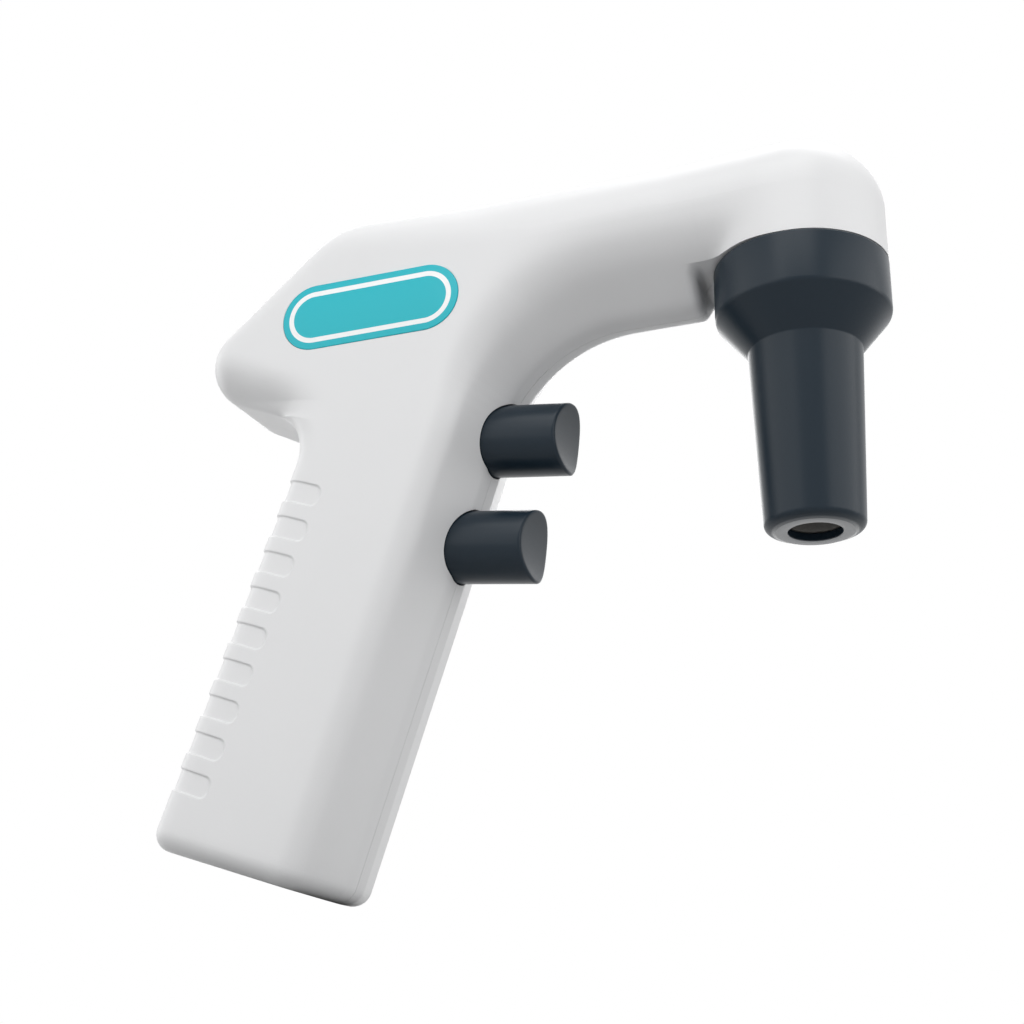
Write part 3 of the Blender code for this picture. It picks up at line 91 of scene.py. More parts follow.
camera_data = bpy.data.cameras.new("photo_camera")
camera_data.lens = LENS
camera_data.clip_start = 0.01
camera = bpy.data.objects.new("photo_camera", camera_data)
aim = look_back(CAMERA_AZIMUTH, CAMERA_ELEVATION).to_track_quat("Z", "Y").to_matrix().to_4x4()
roll = Matrix.Rotation(CAMERA_ROLL, 4, "Z")
camera.matrix_world = TO_FRAME @ Matrix.Translation(CAMERA_PLACE) @ aim @ roll
bpy.context.scene.collection.objects.link(camera)
bpy.context.scene.camera = camera
bpy.context.scene.view_settings.view_transform = "Standard"


class Value:
    """A shader socket. Its operators add Math nodes, and node() adds any other."""

    def __init__(self, tree, socket):
        self.tree = tree
        self.socket = socket

    def node(self, kind, settings=None, sockets=None, output=0):
        """Adds a node and returns one of its outputs. A socket's value is a Value or plain."""
        made = self.tree.nodes.new("ShaderNode" + kind)
        for key, value in (settings or {}).items():
            setattr(made, key, value)
        for key, value in (sockets or {}).items():
            if isinstance(value, Value):
                self.tree.links.new(value.socket, made.inputs[key])
            else:
                made.inputs[key].default_value = value
        return Value(self.tree, made.outputs[output])

    def math(self, operation, *others):
        """A Math node on this value and any others."""
        return self.node("Math", {"operation": operation}, dict(enumerate((self, *others))))

    def __add__(self, other):
        return self.math("ADD", other)

    __radd__ = __add__

    def __mul__(self, other):
        return self.math("MULTIPLY", other)

    __rmul__ = __mul__

    def __sub__(self, other):
        return self.math("SUBTRACT", other)

    def __rsub__(self, other):
        return self.math("MULTIPLY_ADD", -1.0, other)

    def size(self):
        """The value without its sign."""
        return self.math("ABSOLUTE")

    def above(self, edge, width):
        """0 below an edge and 1 above it, over a width."""
        return self.node("MapRange", {"interpolation_type": "SMOOTHSTEP"},
                         {"Value": self, "From Min": edge - width / 2, "From Max": edge + width / 2})

    def tint(self, low, high):
        """A colour between two; the Mix node's sockets 6, 7 and 2 are its colours."""
        return self.node("Mix", {"data_type": "RGBA"},
                         {0: self, 6: colour_of(low), 7: colour_of(high)}, output=2)


def colour_of(colour):
    """A colour as a socket takes it, or a value as it is."""
    return colour if isinstance(colour, Value) else (*colour, 1.0)


class Finish:
    """A material under construction: its shader, and values read at a point of the piece."""

    def __init__(self, name):
        self.material = bpy.data.materials.new(name)
        self.material.use_nodes = True
        self.tree = self.material.node_tree
        self.shader = self.tree.nodes["Principled BSDF"]
        self.start = Value(self.tree, None)
        self.place = self.start.node("TexCoord", output="Object")

    def axes(self, centre):
        """Distances from a centre along X, Y and Z, in metres."""
        moved = self.start.node("VectorMath", {"operation": "SUBTRACT"}, {0: self.place, 1: centre})
        return [self.start.node("SeparateXYZ", None, {0: moved}, axis) for axis in "XYZ"]

    def noise(self, size, stretch=(1.0, 1.0, 1.0), seed=0.0):
        """Soft noise from 0 to 1 whose spots are about one size across."""
        spread = self.start.node("Mapping", None, {"Vector": self.place, "Scale": stretch,
                                                   "Location": (seed, seed, seed)})
        return self.start.node("TexNoise", None, {"Vector": spread, "Scale": 1 / size, "Detail": 3.0})

    def set(self, **values):
        """Sets the shader's inputs, written with underscores for spaces."""
        for key, value in values.items():
            socket = self.shader.inputs[key.replace("_", " ")]
            if isinstance(value, Value):
                self.tree.links.new(value.socket, socket)
            else:
                socket.default_value = value
        return self

    def bump(self, height, depth):
        """Raises the surface by a height from 0 to 1 times a depth in metres."""
        normal = self.start.node("Bump", None, {"Height": height, "Distance": depth, "Strength": 1.0})
        return self.set(Normal=normal)


FLOOR_REACH = 1.6
FLOOR_FADE_AT = 0.9
FLOOR_FADE_WIDTH = 0.6
FLOOR_DROP = 0.3 * MM
FLOOR_WHITE = 0.90
BOUNCED_WHITE = 0.36


def solid(name, mesh):
    """Links a working object."""
    made = bpy.data.objects.new(name, mesh)
    bpy.context.scene.collection.objects.link(made)
    return made


def studio_floor_paint():
    """Pale and matt from above, see-through from below and far out, dimmer to bounced light."""
    made = bpy.data.materials.new("studio_floor_paint")
    made.use_nodes = True
    tree = made.node_tree
    tree.nodes.clear()
    start = Value(tree, None)
    bounced = start.node("LightPath", output="Is Diffuse Ray")
    paint = bounced.tint((FLOOR_WHITE,) * 3, (BOUNCED_WHITE,) * 3)
    matt = start.node("BsdfDiffuse", None, {"Color": paint})
    clear = start.node("BsdfTransparent")
    backside = start.node("NewGeometry", output="Backfacing")
    place = start.node("TexCoord", output="Object")
    reach = start.node("VectorMath", {"operation": "LENGTH"}, {0: place}, "Value")
    fade = reach.above(FLOOR_FADE_AT, FLOOR_FADE_WIDTH)
    shown = start.node("MixShader", None, {0: backside.math("MAXIMUM", fade), 1: matt, 2: clear})
    output = tree.nodes.new("ShaderNodeOutputMaterial")
    tree.links.new(shown.socket, output.inputs["Surface"])
    return made


corners = [(x * FLOOR_REACH, y * FLOOR_REACH, 0) for x, y in ((-1, -1), (1, -1), (1, 1), (-1, 1))]
floor = solid("studio_floor", bpy.data.meshes.new("studio_floor"))
floor.data.from_pydata(corners, [], [(0, 1, 2, 3)])
floor.data.materials.append(studio_floor_paint())
floor.location.z = cad_box[0].z - FLOOR_DROP

world = bpy.data.worlds.new("studio_room")
bpy.context.scene.world = world
world.use_nodes = True
room = Value(world.node_tree, None)
world.node_tree.nodes.clear()
seen = room.node("LightPath", output="Is Camera Ray")
mirrored = room.node("LightPath", output="Is Glossy Ray")
through = room.node("LightPath", output="Is Transmission Ray")
direct = (seen + mirrored + through).math("MINIMUM", 1.0)
backdrop = room.node("Background", None, {"Color": ROOM_WHITE, "Strength": 1.0})
ambient = room.node("Background", None, {"Color": ROOM_WHITE, "Strength": ROOM_LIGHT})
mixed = room.node("MixShader", None, {0: direct, 1: ambient, 2: backdrop})
world_output = world.node_tree.nodes.new("ShaderNodeOutputWorld")
world.node_tree.links.new(mixed.socket, world_output.inputs["Surface"])


def soft_box(name, azimuth, elevation, distance, width, height, power):
    """A rectangular lamp aimed at the object's middle, in degrees, metres and watts."""
    lamp_data = bpy.data.lights.new(name, "AREA")
    lamp_data.shape = "RECTANGLE"
    lamp_data.size = width
    lamp_data.size_y = height
    lamp_data.energy = power
    lamp = bpy.data.objects.new(name, lamp_data)
    back = look_back(radians(azimuth), radians(elevation))
    place = Matrix.Translation((cad_box[0] + cad_box[1]) / 2 + back * distance)
    lamp.matrix_world = place @ back.to_track_quat("Z", "Y").to_matrix().to_4x4()
    bpy.context.scene.collection.objects.link(lamp)


soft_box("key_box", 8, 46, 1.0, 0.8, 0.7, 4.2)
soft_box("side_box", -42, 8, 1.2, 1.6, 1.2, 6.2)
soft_box("fill_box", 84, 3, 1.2, 1.8, 1.3, 11.5)
soft_box("top_box", 150, 75, 0.9, 0.7, 0.5, 1.8)
soft_box("edge_box", -100, 12, 1.0, 0.3, 0.8, 1.2)
soft_box("back_box", 200, 30, 1.0, 0.8, 0.6, 3.0)


# Housing halves. Two mirrored shells of pale satin plastic, moulded, that meet
# on the centre plane and are held by five screws. Each is half of the head, arm,
# grip and tail, with finger grooves that wrap the grip's back edge.
HALF_WIDTH = 18.0 * MM
TOP_Z = 84.4 * MM
ARM_UNDER_Z = 50.6 * MM
WEB_RADIUS = 29.5 * MM
FRONT_X = -75.7 * MM
FRONT_SLOPE = radians(18.4)
BACK_X = -118.0 * MM
BACK_SLOPE = radians(19.9)
FOOT_Z = -68.2 * MM
FOOT_SLOPE = radians(17.3)
FOOT_RADIUS = 4.0 * MM
TAIL_UNDER_X = -113.5 * MM
TAIL_UNDER_Z = 37.0 * MM
TAIL_UNDER_SLOPE = radians(24.5)
TAIL_TIP_RADIUS = 9.2 * MM
TAIL_UP_SLOPE = radians(44.0)
TAIL_TOP_X = -103.2 * MM
REAR_WEB_RADIUS = 11.0 * MM
TAIL_TOP_RADIUS = 20.0 * MM
GRIP_EDGE = 7.0 * MM
TAIL_EDGE = 10.0 * MM
REAR_EDGE = 15.0 * MM
ARM_EDGE = 17.6 * MM
HEAD_EDGE = 15.5 * MM
STRIP_HALF = 3.5 * MM
FACET_ANGLE = radians(20.0)
FACET_RADIUS = 6.0 * MM
FACET_KEEL = 1.0 * MM
FLANK_HALF = 3.0 * MM
FLANK_ANGLE = radians(42.0)
FLANK_RADIUS = 20.0 * MM
FLANK_KEEL = 6.5 * MM
HEAD_BLEND = 2.0 * MM
HEAD_BLEND_RUN = 4.0 * MM
ARM_BLEND = 2.5 * MM
HEAD_START_X = -24.0 * MM
WALL = 2.2 * MM
SEAM = 0.05 * MM
NOTCH_X = -20.3 * MM
NOTCH_ROUND = 2.0 * MM
NOTCH_CORNER = 1.9 * MM
NOTCH_REACH = 4.0 * MM
NOTCH_STEPS = 8
COLLAR_TOP_Z = 57.4 * MM
COLLAR_BORE = 15.2 * MM
FLANGE_GROOVE = 16.9 * MM
GROOVE_LOW_Z = 58.7 * MM
GROOVE_TOP_Z = 61.7 * MM
GAP = 0.3 * MM
GROOVE_COUNT = 9
GROOVE_HALF = 2.3 * MM
GROOVE_PITCH = 8.03 * MM
GROOVE_DEPTH = 0.42 * MM
GROOVE_REACH = 11.5 * MM
GROOVE_FIRST = 6.0 * MM
GROOVE_CORNER = 1.8 * MM
GROOVE_LIP = 0.5 * MM
GROOVE_FADE = 20.0 * MM
ROW_STEP = 2.0 * MM
CAVITY_ROW_STEP = 12.0 * MM
FOOT_SPREAD = 14.0 * MM
WELD = 0.002 * MM
SHARP_FROM = radians(35.0)
BROAD_SPOT = 30.0 * MM
HEAD_SIDE_Z = TOP_Z - HEAD_EDGE
CEILING_Z = COLLAR_TOP_Z + GAP
FAR = 2 * HALF_WIDTH


def unit(vector):
    """A vector's direction, one long."""
    return vector / np.linalg.norm(vector)


def fillet_path(points, radii, step=radians(4.0)):
    """Corner points joined by straight lines, with an arc at each inner one."""
    path = [np.array(points[0], float)]
    for a, b, c, radius in zip(points[:-2], points[1:-1], points[2:], radii):
        a, b, c = (np.array(v, float) for v in (a, b, c))
        u, v = unit(a - b), unit(c - b)
        if radius <= 0:
            path.append(b)
            continue
        half = acos(float(u @ v)) / 2
        reach = radius / tan(half)
        centre = b + unit(u + v) * radius / sin(half)
        first, last = b + u * reach - centre, b + v * reach - centre
        start = atan2(first[1], first[0])
        swing = (atan2(last[1], last[0]) - start + pi) % (2 * pi) - pi
        count = max(2, ceil(abs(swing) / step))
        for k in range(count + 1):
            angle = start + swing * k / count
            path.append(centre + radius * np.array([cos(angle), sin(angle)]))
    path.append(np.array(points[-1], float))
    return np.array(path)


def lengths(path):
    """Distance along a path at each of its points."""
    return np.r_[0, np.cumsum(np.linalg.norm(np.diff(path, axis=0), axis=1))]


def point_at(path, distance):
    """The point that far along a path, and past its start on the first line."""
    run = lengths(path)
    if distance < 0:
        first = (path[1] - path[0]) / run[1]
        return path[0] + first * distance
    return np.array([np.interp(distance, run, path[:, 0]), np.interp(distance, run, path[:, 1])])


def depth_from(path, points):
    """Each point's shortest distance to a path."""
    start, step = path[:-1], np.diff(path, axis=0)
    size = (step ** 2).sum(1)
    keep = size > 0
    start, step, size = start[keep], step[keep], size[keep]
    to = points[:, None, :] - start[None]
    share = np.clip((to * step[None]).sum(2) / size[None], 0, 1)
    return np.sqrt(((to - share[..., None] * step[None]) ** 2).sum(2).min(1))


def front_line(z):
    """The grip's front edge at height z."""
    return FRONT_X + z * tan(FRONT_SLOPE)


def back_corner(x, z, slope):
    """Where the grip's back edge meets a line through a point that falls towards the front."""
    meet_z = (z - (BACK_X - x) * tan(slope)) / (1 + tan(BACK_SLOPE) * tan(slope))
    return (BACK_X + meet_z * tan(BACK_SLOPE), meet_z)


FOOT_FRONT = (front_line(FOOT_Z), FOOT_Z)
WEB_CORNER = (front_line(ARM_UNDER_Z), ARM_UNDER_Z)
FOOT_BACK = back_corner(*FOOT_FRONT, FOOT_SLOPE)
REAR_WEB = back_corner(TAIL_UNDER_X, TAIL_UNDER_Z, TAIL_UNDER_SLOPE)
tip_x = TAIL_UNDER_Z + TAIL_UNDER_X * tan(TAIL_UNDER_SLOPE) - TOP_Z + TAIL_TOP_X * tan(TAIL_UP_SLOPE)
tip_x = tip_x / (tan(TAIL_UNDER_SLOPE) + tan(TAIL_UP_SLOPE))
TAIL_TIP = (tip_x, TAIL_UNDER_Z - (tip_x - TAIL_UNDER_X) * tan(TAIL_UNDER_SLOPE))
TAIL_TOP = (TAIL_TOP_X, TOP_Z)
HEAD_CORNER = (HALF_WIDTH, TOP_Z)
HEAD_SIDE = (HALF_WIDTH, HEAD_SIDE_Z)
UNDER_END = (HALF_WIDTH, ARM_UNDER_Z)


def smoothstep(value):
    """Eases a value between 0 and 1."""
    value = np.clip(value, 0, 1)
    return value * value * (3 - 2 * value)


def front_profile(blend, inset):
    """Half section from the front edge to the flat side: depth and half width."""
    half = STRIP_HALF + blend * (FLANK_HALF - STRIP_HALF)
    angle = FACET_ANGLE + blend * (FLANK_ANGLE - FACET_ANGLE)
    keel = FACET_KEEL + blend * (FLANK_KEEL - FACET_KEEL) + inset
    corner = FACET_RADIUS + blend * (FLANK_RADIUS - FACET_RADIUS)
    reach = (HALF_WIDTH - half) * tan(angle)
    points = [(0, 0), (0, half), (reach, HALF_WIDTH), (reach + 3 * HALF_WIDTH, HALF_WIDTH)]
    return fillet_path(points, [keel, corner], radians(2.5))


def facing(distance):
    """Distance along the front line, square across from one along the back line."""
    start = np.array(FOOT_BACK) + distance * np.array([sin(BACK_SLOPE), cos(BACK_SLOPE)])
    across = np.array([cos(BACK_SLOPE), -sin(BACK_SLOPE)])
    rise = np.array([sin(FRONT_SLOPE), cos(FRONT_SLOPE)])
    solved = np.linalg.solve(np.stack([rise, -across], axis=1), start - np.array(FOOT_FRONT))
    return solved[0]


BACK_PATH = fillet_path([FOOT_BACK, REAR_WEB, TAIL_TIP, TAIL_TOP, HEAD_CORNER, HEAD_SIDE],
                        [REAR_WEB_RADIUS, TAIL_TIP_RADIUS, TAIL_TOP_RADIUS, HEAD_EDGE])
FRONT_PATH = fillet_path([FOOT_FRONT, WEB_CORNER, UNDER_END], [WEB_RADIUS])


def arc_stops(path, before, corner, after, radius):
    """Where a corner's arc starts and ends: both distances along the path, and X at its end."""
    corner = np.array(corner)
    u, v = unit(np.array(before) - corner), unit(np.array(after) - corner)
    reach = radius / tan(acos(float(u @ v)) / 2)
    spots = [corner + u * reach, corner + v * reach]
    first, last = (lengths(path)[np.argmin(((path - spot) ** 2).sum(1))] for spot in spots)
    return first, last, spots[1][0]


WEB_IN, WEB_OUT, _ = arc_stops(BACK_PATH, FOOT_BACK, REAR_WEB, TAIL_TIP, REAR_WEB_RADIUS)
TIP_IN, TIP_OUT, _ = arc_stops(BACK_PATH, REAR_WEB, TAIL_TIP, TAIL_TOP, TAIL_TIP_RADIUS)
TOP_IN, TOP_OUT, TOP_X = arc_stops(BACK_PATH, TAIL_TIP, TAIL_TOP, HEAD_CORNER, TAIL_TOP_RADIUS)
BEND_IN, BEND_OUT, BEND_X = arc_stops(FRONT_PATH, FOOT_FRONT, WEB_CORNER, UNDER_END, WEB_RADIUS)
BACK_SHIFT = TOP_OUT - TOP_X
FRONT_SHIFT = BEND_OUT - BEND_X
GROOVES = [WEB_IN - GROOVE_FIRST - k * GROOVE_PITCH for k in range(GROOVE_COUNT)]


def grip_rows(fine):
    """Distances up the grip's back at which a row is laid, close at the grooves' lips."""
    rows = list(np.arange(0, WEB_IN, ROW_STEP if fine else CAVITY_ROW_STEP))
    if fine:
        rows = [r for r in rows if min(abs(r - g) for g in GROOVES) > GROOVE_HALF + GROOVE_LIP]
        for groove in GROOVES:
            lip = np.linspace(-GROOVE_LIP, GROOVE_LIP, 7)
            rows += list(groove - GROOVE_HALF + lip) + list(groove + GROOVE_HALF + lip)
            corner = GROOVE_HALF - GROOVE_LIP
            rows += list(groove + np.linspace(-corner, corner, 9)[1:-1])
    return sorted(r for r in rows if r == 0 or 1.4 * FOOT_RADIUS < r < WEB_IN - MM / 2)


def row_pairs(fine):
    """Each row's two ends: its distances along the back and the front outline."""
    pairs = []
    for b in grip_rows(fine):
        pairs.append((b, facing(b) - facing(0) * max(0.0, 1 - b / FOOT_SPREAD)))
    level = facing(WEB_IN)
    bend = BEND_OUT - BEND_IN
    more = 4 if fine else 1
    stops = [
        (WEB_IN, level, 3),
        (WEB_OUT, level + 0.35 * (BEND_IN - level), 2),
        (TIP_IN, level + 0.85 * (BEND_IN - level), 3),
        ((TIP_IN + TIP_OUT) / 2, BEND_IN + 0.08 * bend, 3),
        (TIP_OUT, BEND_IN + 0.20 * bend, 4),
        (TOP_IN, BEND_IN + 0.50 * bend, 3),
        (TOP_OUT, BEND_IN + 0.70 * bend, 4),
        (BACK_SHIFT + BEND_X, BEND_OUT, 2),
        (BACK_SHIFT + HEAD_START_X, FRONT_SHIFT + HEAD_START_X, 0),
    ]
    for (b0, f0, count), (b1, f1, _) in zip(stops[:-1], stops[1:]):
        count = count * more
        pairs += [(b0 + (b1 - b0) * k / count, f0 + (f1 - f0) * k / count) for k in range(count)]
    return pairs


def shell_grid(fine, inset):
    """The housing's outer surface on the camera's side, row by row from foot to head."""
    pairs = row_pairs(fine)
    starts = [point_at(BACK_PATH, b) for b, _ in pairs]
    ends = [point_at(FRONT_PATH, f) for _, f in pairs]
    more = 3 if fine else 1
    head = list(np.linspace(HEAD_START_X, -HALF_WIDTH, 2 * more, endpoint=False))
    head += [-HALF_WIDTH * cos(pi / 2 * k / (4 * more)) for k in range(4 * more)]
    head += [HALF_WIDTH * sin(pi / 2 * k / (7 * more)) for k in range(7 * more + 1)]
    for x in head:
        over = max(x - HALF_WIDTH + HEAD_EDGE, 0.0)
        starts.append(np.array([x, HEAD_SIDE_Z + sqrt(max(HEAD_EDGE ** 2 - over ** 2, 0.0))]))
        ends.append(np.array([x, ARM_UNDER_Z]))
        pairs.append((BACK_SHIFT + x, FRONT_SHIFT + x))
    pairs = np.array(pairs)
    edges = np.interp(pairs[:, 0], [WEB_OUT, TIP_IN, TIP_OUT, TOP_OUT],
                      [GRIP_EDGE, TAIL_EDGE, TAIL_EDGE, REAR_EDGE])
    along_arm = pairs[:, 0] - BACK_SHIFT
    arm = [TOP_OUT - BACK_SHIFT, 3 * HEAD_START_X, HEAD_START_X, 0.0]
    edges = np.where(along_arm > arm[0],
                     np.interp(along_arm, arm, [REAR_EDGE, ARM_EDGE, ARM_EDGE, HEAD_EDGE]), edges)
    blends = smoothstep((pairs[:, 1] - BEND_IN + GRIP_EDGE) / (BEND_OUT - BEND_IN + 2 * GRIP_EDGE))
    grid = [shell_row(*row, fine, inset) for row in zip(starts, ends, edges, blends, pairs[:, 0])]
    closing = grid[-1].copy()
    closing[:, 1] = -SEAM
    return grid + [closing]


def side_depths(back_reach, front_reach, span, grooved):
    """Depths of the columns on the flat side, drawn together at the grooves' ends."""
    lip = np.linspace(GROOVE_REACH - GROOVE_CORNER - GROOVE_LIP, GROOVE_REACH + GROOVE_LIP, 12)
    laid = np.r_[(back_reach + lip[0]) / 2, lip, np.linspace(lip[-1], span - front_reach, 6)[1:-1]]
    even = np.linspace(back_reach, span - front_reach, len(laid) + 2)[1:-1]
    return list(laid * grooved + even * (1 - grooved))


def shell_row(start, end, edge, blend, distance, fine, inset):
    """One row of shell_grid, from the back edge over the side to the front edge."""
    span = float(np.linalg.norm(end - start))
    inward = (end - start) / span
    profile = front_profile(blend, inset)
    run = lengths(profile)
    wall = int(np.argmax(profile[:, 0] > 1e-9)) - 1
    flat = profile[np.argmax(profile[:, 1] > HALF_WIDTH - 1e-9), 0]
    in_head = start[0] > HEAD_START_X - 1e-6
    front_reach = min(flat, 0.5 * span)
    back_reach = min(edge, span - front_reach - 2 * MM)
    if in_head:
        back_reach = max(start[1] - HEAD_SIDE_Z, 0.0)
    turns = 12 if fine else 5
    angles = [pi / 2 * k / turns for k in range(turns + 1)]
    depths = [back_reach * (1 - cos(a)) for a in angles]
    if fine:
        grooved = smoothstep(1 - (distance - WEB_IN) / GROOVE_FADE)
        depths += side_depths(back_reach, front_reach, span, grooved)
    else:
        depths += list(np.linspace(back_reach, span - front_reach, 4)[1:-1])
    far = np.interp(front_reach, profile[:, 0], run)
    ahead = 18 if fine else 7
    for k in range(ahead + 1):
        depths.append(span - np.interp(far + (run[wall] - far) * k / ahead, run, profile[:, 0]))
    shares = np.array([0.0] + depths + [span]) / max(span, 1e-9)
    spots = start + (end - start) * shares[:, None]
    x, z = spots[:, 0], spots[:, 1]
    from_back, from_front = depth_from(BACK_PATH, spots), depth_from(FRONT_PATH, spots)
    by_front = np.interp(from_front, profile[:, 0], profile[:, 1])
    by_front = np.where(from_front < 1e-9, profile[wall, 1], by_front)
    if in_head:
        rise = np.clip(z - TOP_Z + edge, 0, edge)
        ring = HALF_WIDTH - edge + np.sqrt(np.clip(edge ** 2 - rise ** 2, 0, None))
        by_back = np.sqrt(np.clip(ring ** 2 - np.clip(x, 0, None) ** 2, 0, None))
        by_head = np.sqrt(np.clip(HALF_WIDTH ** 2 - x ** 2, 0, None))
        fade = HEAD_BLEND * np.clip((x - HEAD_START_X) / HEAD_BLEND_RUN, 0, 1)
        joined = (by_front + by_head + np.sqrt((by_front - by_head) ** 2 + fade ** 2)) / 2
        by_front = np.where(x >= 0, by_head, joined)
    else:
        inside = edge - np.minimum(from_back, edge)
        by_back = HALF_WIDTH - edge + np.sqrt(np.clip(edge ** 2 - inside ** 2, 0, None))
    soft = max(ARM_BLEND * blend, 1e-6)
    overlap = np.clip(1 - np.abs(by_back - by_front) / soft, 0, 1)
    width = np.maximum(np.minimum(by_back, by_front) - soft / 4 * overlap ** 2, SEAM)
    width[0] = width[-1] = SEAM
    row = np.stack([x, -width, z], axis=1)
    if fine and distance < WEB_IN:
        around = [0.0] + angles + [pi / 2] * (len(row) - len(angles) - 1)
        nearest = min(GROOVES, key=lambda g: abs(distance - g))
        rise = abs(distance - nearest) - (GROOVE_HALF - GROOVE_CORNER)
        for k, angle in enumerate(around):
            depth = shares[k] * span
            ahead_by = depth - GROOVE_REACH + GROOVE_CORNER if angle >= pi / 2 else -GROOVE_REACH
            outside = sqrt(max(rise, 0) ** 2 + max(ahead_by, 0) ** 2) + min(max(rise, ahead_by), 0)
            sink = GROOVE_DEPTH * smoothstep((GROOVE_CORNER - outside) / GROOVE_LIP + 0.5)
            row[k] += sink * np.array([inward[0] * cos(angle), sin(angle), inward[1] * cos(angle)])
        row[:, 1] = np.minimum(row[:, 1], -SEAM)
    return row


def solid_from(name, bm):
    """Turns a mesh's faces outward, ends it and links it as a working object."""
    bmesh.ops.recalc_face_normals(bm, faces=bm.faces)
    mesh = bpy.data.meshes.new(name)
    bm.to_mesh(mesh)
    bm.free()
    return solid(name, mesh)


def shell_body(name, inset, side, fine):
    """Half of the housing as a closed solid, drawn in by an inset."""
    grid = shell_grid(fine, inset)
    bm = bmesh.new()
    net = [[bm.verts.new(point) for point in row] for row in grid]
    for low, high in zip(net[:-1], net[1:]):
        for a, b, c, d in zip(low[:-1], low[1:], high[1:], high[:-1]):
            bm.faces.new((a, b, c, d))
    bm.faces.new(net[0])
    foot = [bm.edges.get((a, b)) for a, b in zip(net[0][:-1], net[0][1:])]
    bmesh.ops.recalc_face_normals(bm, faces=bm.faces)
    steps = 8 if fine else 3
    bmesh.ops.bevel(bm, geom=foot, offset=FOOT_RADIUS, segments=steps, affect="EDGES", profile=0.5)
    bmesh.ops.remove_doubles(bm, verts=bm.verts, dist=2 * WELD)
    bmesh.ops.dissolve_degenerate(bm, edges=bm.edges, dist=WELD)
    bmesh.ops.recalc_face_normals(bm, faces=bm.faces)
    badge_spot = BADGE_CENTRE - Vector((0, HALF_WIDTH, 0))
    nearest = min(bm.faces, key=lambda face: (face.calc_center_median() - badge_spot).length)
    if nearest.normal.y > 0:
        bmesh.ops.reverse_faces(bm, faces=bm.faces)
    bm.normal_update()
    rim = [v for v in bm.verts if v.is_boundary]
    if inset:
        moved = {v: v.co - v.normal * inset * v.calc_shell_factor() for v in bm.verts}
        for v, spot in moved.items():
            v.co = spot
    for v in rim:
        v.co.y = inset if inset else -SEAM
    bmesh.ops.holes_fill(bm, edges=[e for e in bm.edges if e.is_boundary], sides=0)
    if side == "left":
        bmesh.ops.scale(bm, vec=(1, -1, 1), verts=bm.verts)
    return solid_from(name, bm)


def box_solid(name, low, high):
    """A box between two corners."""
    bm = bmesh.new()
    bmesh.ops.create_cube(bm, size=1.0)
    bmesh.ops.scale(bm, vec=Vector(high) - Vector(low), verts=bm.verts)
    bmesh.ops.translate(bm, vec=(Vector(high) + Vector(low)) / 2, verts=bm.verts)
    return solid_from(name, bm)


def rod_solid(name, radius, start, end, place=Matrix.Identity(4), sides=64):
    """A cylinder from start to end along Z, then placed."""
    bm = bmesh.new()
    bmesh.ops.create_cone(bm, cap_ends=True, segments=sides, radius1=radius, radius2=radius,
                          depth=end - start)
    bmesh.ops.translate(bm, vec=(0, 0, (start + end) / 2), verts=bm.verts)
    bmesh.ops.transform(bm, matrix=place, verts=bm.verts)
    return solid_from(name, bm)


def cut(target, *tools):
    """Cuts the tools from the target and removes them."""
    for tool in tools:
        modifier = target.modifiers.new(tool.name, "BOOLEAN")
        modifier.operation = "DIFFERENCE"
        modifier.solver = "EXACT"
        modifier.object = tool
    graph = bpy.context.evaluated_depsgraph_get()
    mesh = bpy.data.meshes.new_from_object(target.evaluated_get(graph))
    target.modifiers.clear()
    target.data = mesh
    for tool in tools:
        bpy.data.objects.remove(tool, do_unlink=True)
    return target


def settle(target, finish, body, nodes):
    """Puts a finished piece in its place, shades it, gives it its finish and body, and hides the CAD nodes
    it stands for.
    """
    name = target.name
    bm = bmesh.new()
    bm.from_mesh(target.data)
    bmesh.ops.remove_doubles(bm, verts=bm.verts, dist=WELD)
    bmesh.ops.triangulate(bm, faces=[f for f in bm.faces if len(f.verts) > 4])
    bmesh.ops.transform(bm, matrix=TO_FRAME @ target.matrix_world, verts=bm.verts)
    bpy.data.objects.remove(target, do_unlink=True)
    made = solid_from(name, bm)
    made.data.shade_smooth()
    made.data.set_sharp_from_angle(angle=SHARP_FROM)
    made.data.materials.append(finish.material)
    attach(made, body)
    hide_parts(*nodes)
    return made


def moulded(name, colour, roughness, grain=0.012 * MM, grain_size=0.35 * MM, specular=0.5):
    """Moulded plastic: a fine grain, and slightly uneven gloss and shade."""
    finish = Finish(name)
    broad = finish.noise(BROAD_SPOT)
    fine = finish.noise(grain_size, seed=0.37)
    darker = tuple(c * 0.965 for c in colour)
    lighter = tuple(min(c * 1.02, 1.0) for c in colour)
    finish.set(Base_Color=(broad * 0.7 + fine * 0.3).tint(darker, lighter),
               Roughness=fine * 0.10 + (broad * 0.06 + (roughness - 0.08)))
    finish.set(Specular_IOR_Level=specular)
    return finish.bump(fine, grain)


shell_finish = moulded("pale_shell_moulding", (0.775, 0.778, 0.785), 0.38)


def skin(bm, rings):
    """Lays faces between each ring of vertices and the next."""
    for low, high in zip(rings[:-1], rings[1:]):
        for k in range(len(low)):
            after = (k + 1) % len(low)
            bm.faces.new((low[k], low[after], high[after], high[k]))


